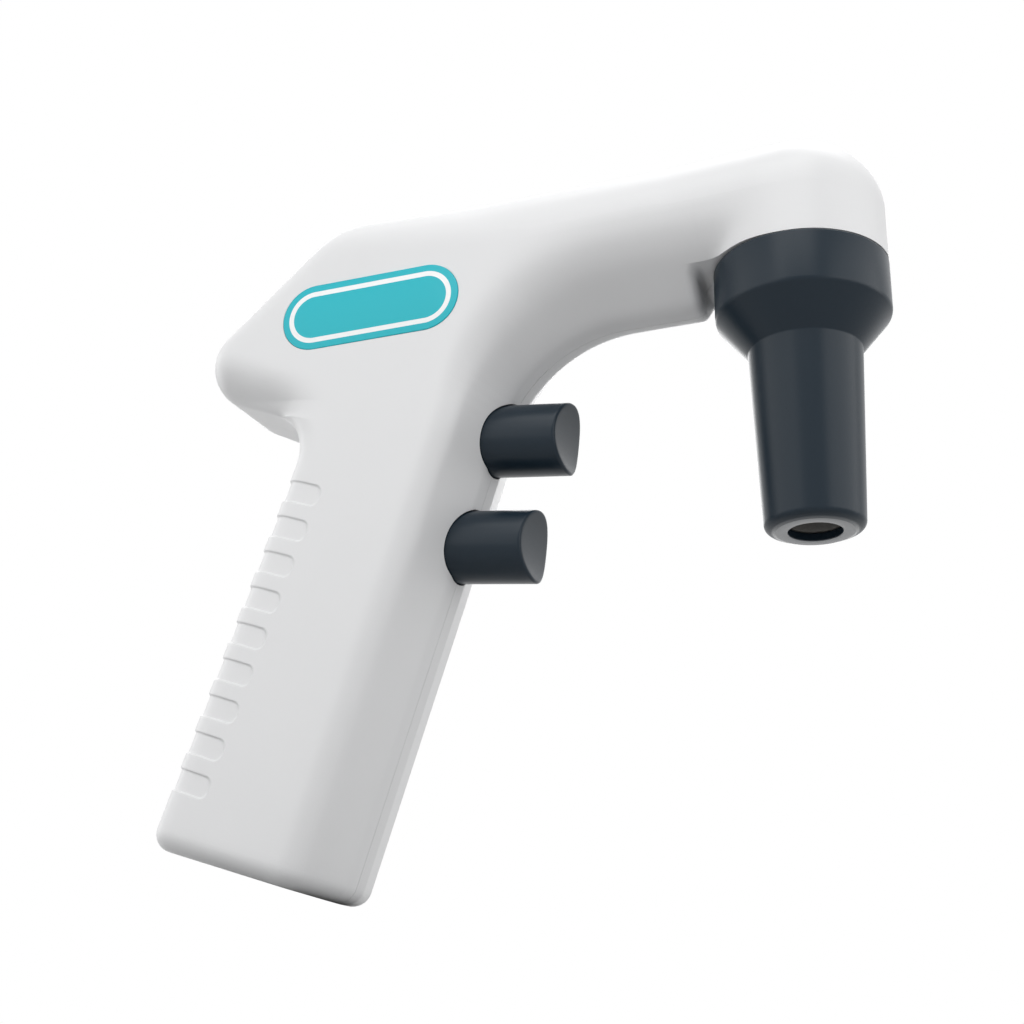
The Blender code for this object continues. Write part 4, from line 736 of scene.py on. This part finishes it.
def notch_tool():
    """The recess behind the collar: all under its ceiling, up to the arm's rounded end."""
    taken = box_solid("notch", (NOTCH_X - NOTCH_ROUND, -FAR, CEILING_Z / 2), (FAR, FAR, CEILING_Z))
    profile = front_profile(1.0, 0.0)
    profile = profile[profile[:, 0] < CEILING_Z - ARM_UNDER_Z + NOTCH_REACH][1:]
    near_ceiling = np.linspace(CEILING_Z - 2 * NOTCH_CORNER, CEILING_Z, 33)
    heights = np.unique(np.r_[ARM_UNDER_Z + profile[:, 0], near_ceiling])
    widths = np.interp(heights, ARM_UNDER_Z + profile[:, 0], profile[:, 1])
    half = np.stack([widths, heights], axis=1)
    ring = np.concatenate([half[::-1] * (-1, 1), half])
    along = np.gradient(ring, axis=0)
    normal = np.stack([along[:, 1], -along[:, 0]], axis=1)
    normal /= np.linalg.norm(normal, axis=1)[:, None]
    bm = bmesh.new()
    rings = []
    for k in range(NOTCH_STEPS + 1):
        angle = pi / 2 * k / NOTCH_STEPS
        x = NOTCH_X - NOTCH_ROUND + NOTCH_ROUND * sin(angle)
        inset = NOTCH_ROUND * (1 - cos(angle))
        points = ring - normal * inset
        share = np.clip((points[:, 1] - CEILING_Z) / NOTCH_CORNER + 1, 0, 1)
        forward = NOTCH_CORNER * (1 - np.sqrt(1 - share ** 2))
        rings.append([bm.verts.new((x + more, y, z)) for more, (y, z) in zip(forward, points)])
    rings.insert(0, [bm.verts.new((v.co.x - NOTCH_REACH, v.co.y, v.co.z)) for v in rings[0]])
    skin(bm, rings)
    count = len(ring)
    for end in (rings[0], rings[-1]):
        for k in range(count // 2 - 1):
            bm.faces.new((end[k], end[k + 1], end[count - 2 - k], end[count - 1 - k]))
    return cut(taken, solid_from("arm_end", bm))


ALONG_X = Matrix.Rotation(pi / 2, 4, "Y")
BUTTON_TURN = Matrix.Rotation(radians(6.27), 4, "Y")
BUTTON_PLACES = {
    "upper": Matrix.Translation(Vector((-50.24, 0, 27.15)) * MM) @ BUTTON_TURN,
    "lower": Matrix.Translation(Vector((-57.65, 0, 3.97)) * MM) @ BUTTON_TURN}
BUTTON_RADIUS = 7.75 * MM
FLANGE_START = 21.3 * MM
BADGE_CENTRE = Vector((-90.7, 0, 57.1)) * MM
BADGE_LENGTH = 42.0 * MM
BADGE_HEIGHT = 15.5 * MM
BADGE_FACE = 17.95 * MM
BADGE_BACK = 17.35 * MM
JACK_HOLE = 3.3 * MM
SCREW_PLACES = {"head": (8.5, 73.5), "arm": (-42.0, 72.0), "tail": (-124.0, 57.0),
                "web": (-111.0, 45.0), "foot": (-127.0, -51.5)}
SCREW_HEAD = 2.6 * MM
SCREW_SEAT_Y = 9.2 * MM
GRIP_TURN = Matrix.Rotation((FRONT_SLOPE + BACK_SLOPE) / 2, 4, "Y")
FOOT_MIDDLE = Vector((FOOT_FRONT[0] + FOOT_BACK[0], 0, FOOT_FRONT[1] + FOOT_BACK[1])) / 2


def pill(length, height, steps=32):
    """A pill outline round the origin, straight along X."""
    radius = height / 2
    reach = length / 2 - radius
    right = [(reach + radius * cos(a), radius * sin(a)) for a in np.linspace(-pi / 2, pi / 2, steps)]
    return right + [(-x, -z) for x, z in right]


def pill_solid(name, length, height, low_y, high_y, bevel=0.0):
    """A pill-shaped plate standing in the X-Z plane at the badge's place."""
    bm = bmesh.new()
    spots = [(BADGE_CENTRE.x + x, low_y, BADGE_CENTRE.z + z) for x, z in pill(length, height)]
    face = bm.faces.new([bm.verts.new(spot) for spot in spots])
    made = bmesh.ops.extrude_face_region(bm, geom=[face])
    raised = [v for v in made["geom"] if isinstance(v, bmesh.types.BMVert)]
    bmesh.ops.translate(bm, vec=(0, high_y - low_y, 0), verts=raised)
    bmesh.ops.recalc_face_normals(bm, faces=bm.faces)
    if bevel:
        rim = [e for e in bm.edges if all(abs(v.co.y - low_y) < 1e-7 for v in e.verts)]
        bmesh.ops.bevel(bm, geom=rim, offset=bevel, segments=4, affect="EDGES", profile=0.5)
    return solid_from(name, bm)


for side in ("left", "right"):
    shell = shell_body("shell_" + side, 0.0, side, True)
    cavity = shell_body("cavity_" + side, WALL, side, False)
    cut(cavity, box_solid("bulkhead", (NOTCH_X - WALL - NOTCH_ROUND, -FAR, CEILING_Z / 2),
                          (FAR, FAR, GROOVE_TOP_Z + WALL / 2)))
    tools = [cavity, notch_tool()]
    tools.append(rod_solid("head_bore", COLLAR_BORE + GAP, CEILING_Z - WALL, GROOVE_TOP_Z + 2 * WALL))
    tools.append(rod_solid("flange_groove", FLANGE_GROOVE, GROOVE_LOW_Z, GROOVE_TOP_Z))
    for level, place in BUTTON_PLACES.items():
        tools.append(rod_solid("hole_" + level, BUTTON_RADIUS + GAP, -FLANGE_START,
                               -FLANGE_START / 2, place @ ALONG_X))
    tools.append(rod_solid("jack_hole", JACK_HOLE, -2 * WALL, 1.4 * WALL,
                           Matrix.Translation(FOOT_MIDDLE) @ GRIP_TURN))
    if side == "right":
        tools.append(pill_solid("badge_pocket", BADGE_LENGTH + GAP / 2, BADGE_HEIGHT + GAP / 2, -FAR,
                                -BADGE_BACK + GAP / 2))
    else:
        for x, z in SCREW_PLACES.values():
            place = Matrix.Translation((x * MM, 0, z * MM)) @ Matrix.Rotation(-pi / 2, 4, "X")
            tools.append(rod_solid("screw_seat", SCREW_HEAD + GAP, SCREW_SEAT_Y, FAR, place, 32))
    cut(shell, *tools)
    settle(shell, shell_finish, "housing", ["housing_" + side])


# Badge. A thin teal film plate, die-cut to a pill shape and pressed into its
# pocket on the right half, with one printed white line inside its edge.
LINE_LENGTH = 38.9 * MM
LINE_HEIGHT = 12.3 * MM
LINE_WIDTH = 1.15 * MM
LINE_EDGE = 0.08 * MM
FILM_EDGE = 0.2 * MM
TEAL = (0.020, 0.49, 0.57)
LINE_WHITE = (0.96, 0.965, 0.965)
teal = moulded("teal_badge_print", TEAL, 0.34, grain=0.004 * MM, grain_size=0.2 * MM, specular=0.3)
across, _, upward = teal.axes(NOSE + BADGE_CENTRE)
half_line = (LINE_LENGTH - LINE_HEIGHT) / 2
beyond = (across.size() - half_line).math("MAXIMUM", 0.0)
from_middle = (beyond * beyond + upward * upward).math("SQRT")
off_line = (from_middle - (LINE_HEIGHT - LINE_WIDTH) / 2).size()
printed = 1.0 - off_line.above(LINE_WIDTH / 2, LINE_EDGE)
film = Value(teal.tree, teal.shader.inputs["Base Color"].links[0].from_socket)
teal.set(Base_Color=printed.tint(film, LINE_WHITE))
badge = pill_solid("badge", BADGE_LENGTH, BADGE_HEIGHT, -BADGE_FACE, -BADGE_BACK, bevel=FILM_EDGE)
settle(badge, teal, "housing", ["badge_plate"])


# Nose cone. One dark moulding that screws onto the head's socket: a collar, a
# short cone and a slightly tapered tube, with a glossier flat ring at its end.
HOLE_RADIUS = 5.4 * MM
HOLE_DEPTH = 1.6 * MM
HOLDER_BORE = 8.2 * MM
CHAMBER_RADIUS = 13.15 * MM
CHAMBER_FLOOR_Z = 42.8 * MM
SHOULDER_Z = 46.1 * MM
POLISHED_HEIGHT = 0.25 * MM
NOSE_PROFILE = [
    (COLLAR_BORE, COLLAR_TOP_Z), (HALF_WIDTH, COLLAR_TOP_Z), (HALF_WIDTH, 46.4 * MM),
    (11.62 * MM, 38.6 * MM), (10.02 * MM, 0.85 * MM), (7.8 * MM, 0.0), (HOLE_RADIUS, 0.0),
    (HOLE_RADIUS, HOLE_DEPTH), (HOLDER_BORE, HOLE_DEPTH), (HOLDER_BORE, CHAMBER_FLOOR_Z),
    (CHAMBER_RADIUS, CHAMBER_FLOOR_Z), (CHAMBER_RADIUS, SHOULDER_Z), (COLLAR_BORE, SHOULDER_Z),
    (COLLAR_BORE, COLLAR_TOP_Z - 0.1 * MM)]
NOSE_ROUNDS = [radius * MM for radius in (0.5, 1.6, 0.6, 1.5, 0.1, 0.15, 0, 0, 0, 0, 0, 0)]


def spun(name, profile, steps=128):
    """Turns a closed profile of (radius, height) points about Z."""
    angles = [2 * pi * k / steps for k in range(steps)]
    bm = bmesh.new()
    rings = [[bm.verts.new((r * cos(a), r * sin(a), z)) for a in angles] for r, z in profile]
    skin(bm, rings + rings[:1])
    return solid_from(name, bm)


def dark_moulding(name):
    """The nose's and the buttons' plastic."""
    dark = (0.011, 0.021, 0.032)
    return moulded(name, dark, 0.30, grain=0.010 * MM, grain_size=0.30 * MM, specular=0.22)


nose_finish = dark_moulding("dark_nose_moulding")
_, _, nose_height = nose_finish.axes(NOSE)
end_ring = 1.0 - nose_height.above(POLISHED_HEIGHT, POLISHED_HEIGHT)
nose_finish.set(Coat_Weight=end_ring, Coat_Roughness=0.12)
nose_cone = spun("nose_cone_skin", fillet_path(NOSE_PROFILE, NOSE_ROUNDS, radians(12.0)))
settle(nose_cone, nose_finish, "nose", ["nose_cone"])


# Pipette holder. A grey silicone sleeve, moulded, that sits in the nose: its
# mouth narrows from the hole to a bore with fine rings that grip a mouthpiece.
HOLDER_LOW = HOLE_DEPTH + GAP
HOLDER_GRIP = 3.2 * MM
HOLDER_TAPER_END = HOLDER_LOW + 29.0 * MM
MOUTH_DEPTH = 8.0 * MM
MOUTH_STEP = 0.45 * MM
MOUTH_TAPER = 0.15 * MM
MOUTH_RIB = 0.06 * MM
MOUTH_RINGS = 9
GRIP_RINGS = 9
GRIP_RING_PITCH = 2.0 * MM
GRIP_RING_DEPTH = 0.15 * MM
SPIGOT_RADIUS = 2.2 * MM
SPIGOT_BORE = 1.1 * MM
SPIGOT_SEAT = 6.6 * MM
holder_top = CHAMBER_FLOOR_Z - GAP
holder_side = HOLDER_BORE - GAP
mouth = HOLE_RADIUS - GAP
sleeve = [(SPIGOT_RADIUS + GAP, holder_top), (holder_side, holder_top), (holder_side, HOLDER_LOW),
          (mouth, HOLDER_LOW)]
for k in range(1, MOUTH_RINGS + 1):
    sleeve.append((mouth - MOUTH_TAPER * k - MOUTH_RIB * (k % 2), HOLDER_LOW + MOUTH_STEP * k))
sleeve.append((HOLDER_GRIP, HOLDER_LOW + MOUTH_DEPTH))
for k in range(GRIP_RINGS):
    low = HOLDER_LOW + MOUTH_DEPTH + k * GRIP_RING_PITCH
    sleeve += [(HOLDER_GRIP + GRIP_RING_DEPTH, low + 0.25 * GRIP_RING_PITCH),
               (HOLDER_GRIP + GRIP_RING_DEPTH, low + 0.75 * GRIP_RING_PITCH),
               (HOLDER_GRIP, low + GRIP_RING_PITCH)]
sleeve += [(SPIGOT_BORE + GAP, HOLDER_TAPER_END), (SPIGOT_BORE + GAP, holder_top - SPIGOT_SEAT),
           (SPIGOT_RADIUS + GAP, holder_top - SPIGOT_SEAT)]
silicone = Finish("grey_silicone_rubber")
dust = silicone.noise(0.5 * MM)
silicone.set(Base_Color=dust.tint((0.10, 0.098, 0.092), (0.15, 0.146, 0.136)), Roughness=dust * 0.12 + 0.56)
silicone.bump(dust, 0.02 * MM)
settle(spun("pipette_holder_sleeve", sleeve), silicone, "nose", ["pipette_holder"])


# Buttons. Two dark moulded plungers of the same shape, each with a fingertip
# scoop across its end, a stop flange inside the grip and a bore for its stem.
SCOOP_DEPTH = 1.37 * MM
SCOOP_RADIUS = (BUTTON_RADIUS ** 2 + SCOOP_DEPTH ** 2) / (2 * SCOOP_DEPTH)
SCOOP_EDGE = 0.75 * MM
SCOOP_RINGS = 10
EDGE_RINGS = 8
FLANGE_END = 22.8 * MM
FLANGE_RADIUS = 9.2 * MM
STEM_BORE = 1.8 * MM
STEM_DEPTH = 6.0 * MM


def scoop(height):
    """How far back the scooped end lies at a height over the button's axis."""
    return SCOOP_RADIUS - sqrt(SCOOP_RADIUS ** 2 - height ** 2) - SCOOP_DEPTH


def button_body(name, place, sides=96):
    """A button along X: rings over its scooped end, round the edge and down to the flange."""
    inner = BUTTON_RADIUS - SCOOP_EDGE
    rings = [(inner * k / SCOOP_RINGS, 0.0) for k in range(1, SCOOP_RINGS)]
    for k in range(EDGE_RINGS + 1):
        angle = pi / 2 * k / EDGE_RINGS
        rings.append((inner + SCOOP_EDGE * sin(angle), SCOOP_EDGE * (1 - cos(angle))))
    angles = [2 * pi * k / sides for k in range(sides)]
    bm = bmesh.new()
    net = []
    for r, drop in rings:
        net.append([bm.verts.new((scoop(r * sin(a)) - drop, r * cos(a), r * sin(a))) for a in angles])
    stem_end = STEM_DEPTH - FLANGE_END
    for r, x in ((BUTTON_RADIUS, -FLANGE_START), (FLANGE_RADIUS, -FLANGE_START),
                 (FLANGE_RADIUS, -FLANGE_END), (STEM_BORE, -FLANGE_END), (STEM_BORE, stem_end)):
        net.append([bm.verts.new((x, r * cos(a), r * sin(a))) for a in angles])
    skin(bm, net)
    for ring, x in ((net[0], scoop(0)), (net[-1], stem_end)):
        middle = bm.verts.new((x, 0, 0))
        for k in range(sides):
            bm.faces.new((ring[k], ring[(k + 1) % sides], middle))
    bmesh.ops.transform(bm, matrix=place, verts=bm.verts)
    return solid_from(name, bm)


button_finish = dark_moulding("dark_button_moulding")
for level, place in BUTTON_PLACES.items():
    cap = button_body(level + "_button_cap", place)
    settle(cap, button_finish, level + "_button", [level + "_button"])


# Filter. A flat capsule of clear plastic in two welded halves, pushed onto the
# holder's top, with a porous membrane between them. Their CAD shapes stay.
def finished(name, colour, roughness, size, metallic=0.0, grain=0.01 * MM, stretch=(1.0, 1.0, 1.0)):
    """A finish with uneven shade and gloss at one scale, for the inner pieces."""
    finish = Finish(name)
    spots = finish.noise(size, stretch)
    darker = tuple(c * 0.85 for c in colour)
    lighter = tuple(min(c * 1.12, 1.0) for c in colour)
    finish.set(Base_Color=spots.tint(darker, lighter), Roughness=spots * 0.16 + (roughness - 0.08))
    finish.set(Metallic=metallic)
    return finish.bump(spots, grain)


def dress(finish, *nodes):
    """Puts a finish on CAD nodes that stay as they are."""
    for name in nodes:
        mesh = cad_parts[name].data
        mesh.materials.clear()
        mesh.materials.append(finish.material)


dress(finished("filter_capsule_plastic", (0.80, 0.84, 0.87), 0.25, 3 * MM, grain=0.004 * MM),
      "filter_lower_half", "filter_upper_half")
dress(finished("filter_membrane_weave", (0.90, 0.90, 0.87), 0.85, 0.15 * MM, grain=0.03 * MM),
      "filter_membrane")


# Seals and diaphragm. Black rubber mouldings: the ring between nose and socket,
# one on each valve stem, and the pump's diaphragm, clamped under its head.
dress(finished("black_seal_rubber", (0.022, 0.022, 0.024), 0.70, 0.4 * MM),
      "seal_ring", "upper_stem_seal", "lower_stem_seal", "pump_diaphragm")


# Socket, valve block and pump body. White acetal, machined: the socket holds
# the nose, and the pump's frame and head hold its motor and diaphragm.
dress(finished("white_acetal", (0.74, 0.74, 0.71), 0.46, 0.8 * MM),
      "nose_socket", "valve_block", "pump_frame", "pump_rod", "pump_head")


# Valve stems, crank and motor. Drawn steel: each stem is pressed into its
# button, and the crank onto the motor's shaft.
dress(finished("drawn_steel", (0.58, 0.58, 0.60), 0.28, 0.6 * MM, metallic=1.0, stretch=(0.1, 1.0, 1.0)),
      "upper_valve_stem", "lower_valve_stem", "pump_crank", "pump_motor")


# Battery pack, switches and charging socket. Two film-sleeved cells and their
# sheet-brass contacts lie in a tray of black moulded plastic. The switches and
# the socket are of the same plastic.
dress(finished("sheet_brass", (0.66, 0.47, 0.18), 0.32, 0.5 * MM, metallic=1.0),
      "battery_contact_front", "battery_contact_rear", "battery_link")
dress(finished("black_tray_moulding", (0.024, 0.024, 0.025), 0.50, 0.5 * MM),
      "upper_switch", "lower_switch", "battery_tray", "charging_socket")
dress(finished("cell_sleeve_film", (0.05, 0.12, 0.36), 0.30, 2 * MM, grain=0.006 * MM),
      "battery_cell_front", "battery_cell_rear")


# Hoses. Clear silicone tubes, extruded, pushed onto the barbs of the pump, the
# valve block and the nose's socket.
dress(finished("clear_hose_silicone", (0.66, 0.70, 0.72), 0.40, 1.5 * MM),
      "pressure_hose", "suction_hose", "nose_hose")


# Circuit board. Green laminate, cut to shape, that carries the two switches
# behind the buttons.
dress(finished("green_board_laminate", (0.02, 0.16, 0.07), 0.42, 1.2 * MM), "circuit_board")


# Return springs. Coiled steel wire between each button's flange and the valve
# block. A pressed button shortens its spring against the block.
SPRING_RADIUS = 3.6 * MM
SPRING_WIRE = 0.28 * MM
SPRING_TURNS = 4.5
SPRING_START = 23.45 * MM
SPRING_END = 30.15 * MM


class Tree:
    """A Geometry Nodes tree with named number inputs."""

    def __init__(self, name, inputs):
        self.group = bpy.data.node_groups.new(name, "GeometryNodeTree")
        self.group.interface.new_socket("Geometry", in_out="INPUT", socket_type="NodeSocketGeometry")
        self.group.interface.new_socket("Geometry", in_out="OUTPUT", socket_type="NodeSocketGeometry")
        self.values = {}
        for key, value in inputs.items():
            kind = "NodeSocketInt" if isinstance(value, int) else "NodeSocketFloat"
            socket = self.group.interface.new_socket(key, in_out="INPUT", socket_type=kind)
            self.values[socket.identifier] = value
        self.start = self.group.nodes.new("NodeGroupInput")
        self.end = self.group.nodes.new("NodeGroupOutput")

    def node(self, kind, settings=None, sockets=None):
        """Adds a node. A socket's value is a link, the name of a tree input, or plain."""
        made = self.group.nodes.new(kind)
        for key, value in (settings or {}).items():
            setattr(made, key, value)
        for key, value in (sockets or {}).items():
            if isinstance(value, bpy.types.NodeSocket):
                self.group.links.new(value, made.inputs[key])
            elif isinstance(value, str):
                self.group.links.new(self.start.outputs[value], made.inputs[key])
            else:
                made.inputs[key].default_value = value
        return made

    def build(self, name, mesh, result, material):
        """Ends the tree and returns its plain result on a mesh."""
        real = self.node("GeometryNodeRealizeInstances", None, {0: result})
        painted = self.node("GeometryNodeSetMaterial", None, {0: real.outputs[0], "Material": material})
        self.group.links.new(painted.outputs[0], self.end.inputs[0])
        made = solid(name, mesh)
        modifier = made.modifiers.new(name, "NODES")
        modifier.node_group = self.group
        for identifier, value in self.values.items():
            modifier[identifier] = value
        graph = bpy.context.evaluated_depsgraph_get()
        plain = bpy.data.meshes.new_from_object(made.evaluated_get(graph))
        made.modifiers.clear()
        made.data = plain
        return made


spring_steel = finished("spring_steel_wire", (0.50, 0.50, 0.52), 0.26, 0.3 * MM, metallic=1.0)
for level, place in BUTTON_PLACES.items():
    tree = Tree(level + "_spring_coil", {
        "Turns": SPRING_TURNS, "Coil Radius": SPRING_RADIUS, "Wire Radius": SPRING_WIRE,
        "Length": SPRING_END - SPRING_START, "Points Per Turn": 28})
    coil = tree.node("GeometryNodeCurveSpiral", None, {
        "Resolution": "Points Per Turn", "Rotations": "Turns", "Start Radius": "Coil Radius",
        "End Radius": "Coil Radius", "Height": "Length"})
    section = tree.node("GeometryNodeCurvePrimitiveCircle", None,
                        {"Resolution": 10, "Radius": "Wire Radius"})
    swept = tree.node("GeometryNodeCurveToMesh", None, {
        "Curve": coil.outputs[0], "Profile Curve": section.outputs[0], "Fill Caps": True})
    spring = tree.build(level + "_spring_wire", bpy.data.meshes.new("start"), swept.outputs[0],
                        spring_steel.material)
    spring.matrix_world = place @ Matrix.Translation((-SPRING_END, 0, 0)) @ ALONG_X
    bpy.context.view_layer.update()
    spring = settle(spring, spring_steel, "housing", [level + "_return_spring"])
    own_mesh(spring)


# Housing screws. Five plated steel screws with a cross recess, driven from the
# left-hand side through the left half's posts into the right half's.
SCREW_SHANK = 1.15 * MM
SCREW_HEAD_TOP = 11.0 * MM
SCREW_TIP = -8.0 * MM
RECESS_WIDTH = 0.75 * MM
RECESS_DEPTH = 1.1 * MM
tree = Tree("housing_screw_set", {
    "Head Radius": SCREW_HEAD, "Head Height": SCREW_HEAD_TOP - SCREW_SEAT_Y - GAP,
    "Shank Radius": SCREW_SHANK, "Shank Length": SCREW_SEAT_Y - SCREW_TIP,
    "Recess Width": RECESS_WIDTH, "Recess Length": 1.5 * SCREW_HEAD, "Recess Depth": RECESS_DEPTH})
recessed = tree.node("GeometryNodeMeshCylinder", None,
                     {"Vertices": 40, "Radius": "Head Radius", "Depth": "Head Height"})
half_head = tree.node("ShaderNodeMath", {"operation": "MULTIPLY"}, {0: "Head Height", 1: 0.5})
lift = tree.node("ShaderNodeCombineXYZ", None, {"Z": half_head.outputs[0]})
for x_size, y_size in (("Recess Width", "Recess Length"), ("Recess Length", "Recess Width")):
    slot_size = tree.node("ShaderNodeCombineXYZ", None, {"X": x_size, "Y": y_size, "Z": "Recess Depth"})
    slot = tree.node("GeometryNodeMeshCube", None, {"Size": slot_size.outputs[0]})
    lifted = tree.node("GeometryNodeTransform", None,
                       {"Geometry": slot.outputs[0], "Translation": lift.outputs[0]})
    recessed = tree.node("GeometryNodeMeshBoolean", {"operation": "DIFFERENCE", "solver": "EXACT"},
                         {"Mesh 1": recessed.outputs[0], "Mesh 2": lifted.outputs[0]})
shank = tree.node("GeometryNodeMeshCylinder", None,
                  {"Vertices": 24, "Radius": "Shank Radius", "Depth": "Shank Length"})
half_shank = tree.node("ShaderNodeMath", {"operation": "MULTIPLY"}, {0: "Shank Length", 1: -0.5})
drop = tree.node("ShaderNodeMath", {"operation": "SUBTRACT"},
                 {0: half_shank.outputs[0], 1: half_head.outputs[0]})
low = tree.node("ShaderNodeCombineXYZ", None, {"Z": drop.outputs[0]})
hung = tree.node("GeometryNodeTransform", None,
                 {"Geometry": shank.outputs[0], "Translation": low.outputs[0]})
one = tree.node("GeometryNodeMeshBoolean", {"operation": "UNION", "solver": "EXACT"})
for part in (recessed, hung):
    tree.group.links.new(part.outputs[0], one.inputs["Mesh 2"])
spread = tree.node("GeometryNodeInstanceOnPoints", None, {
    "Points": tree.start.outputs[0], "Instance": one.outputs[0], "Rotation": (-pi / 2, 0.0, 0.0)})
points = bpy.data.meshes.new("screw_points")
middle_y = (SCREW_HEAD_TOP + SCREW_SEAT_Y + GAP) / 2
points.from_pydata([(x * MM, middle_y, z * MM) for x, z in SCREW_PLACES.values()], [], [])
plated = finished("plated_screw_steel", (0.42, 0.42, 0.44), 0.30, 0.5 * MM, metallic=1.0)
screws = tree.build("housing_screw_set", points, spread.outputs[0], plated.material)
settle(screws, plated, "housing", ["housing_screw_" + place for place in SCREW_PLACES])
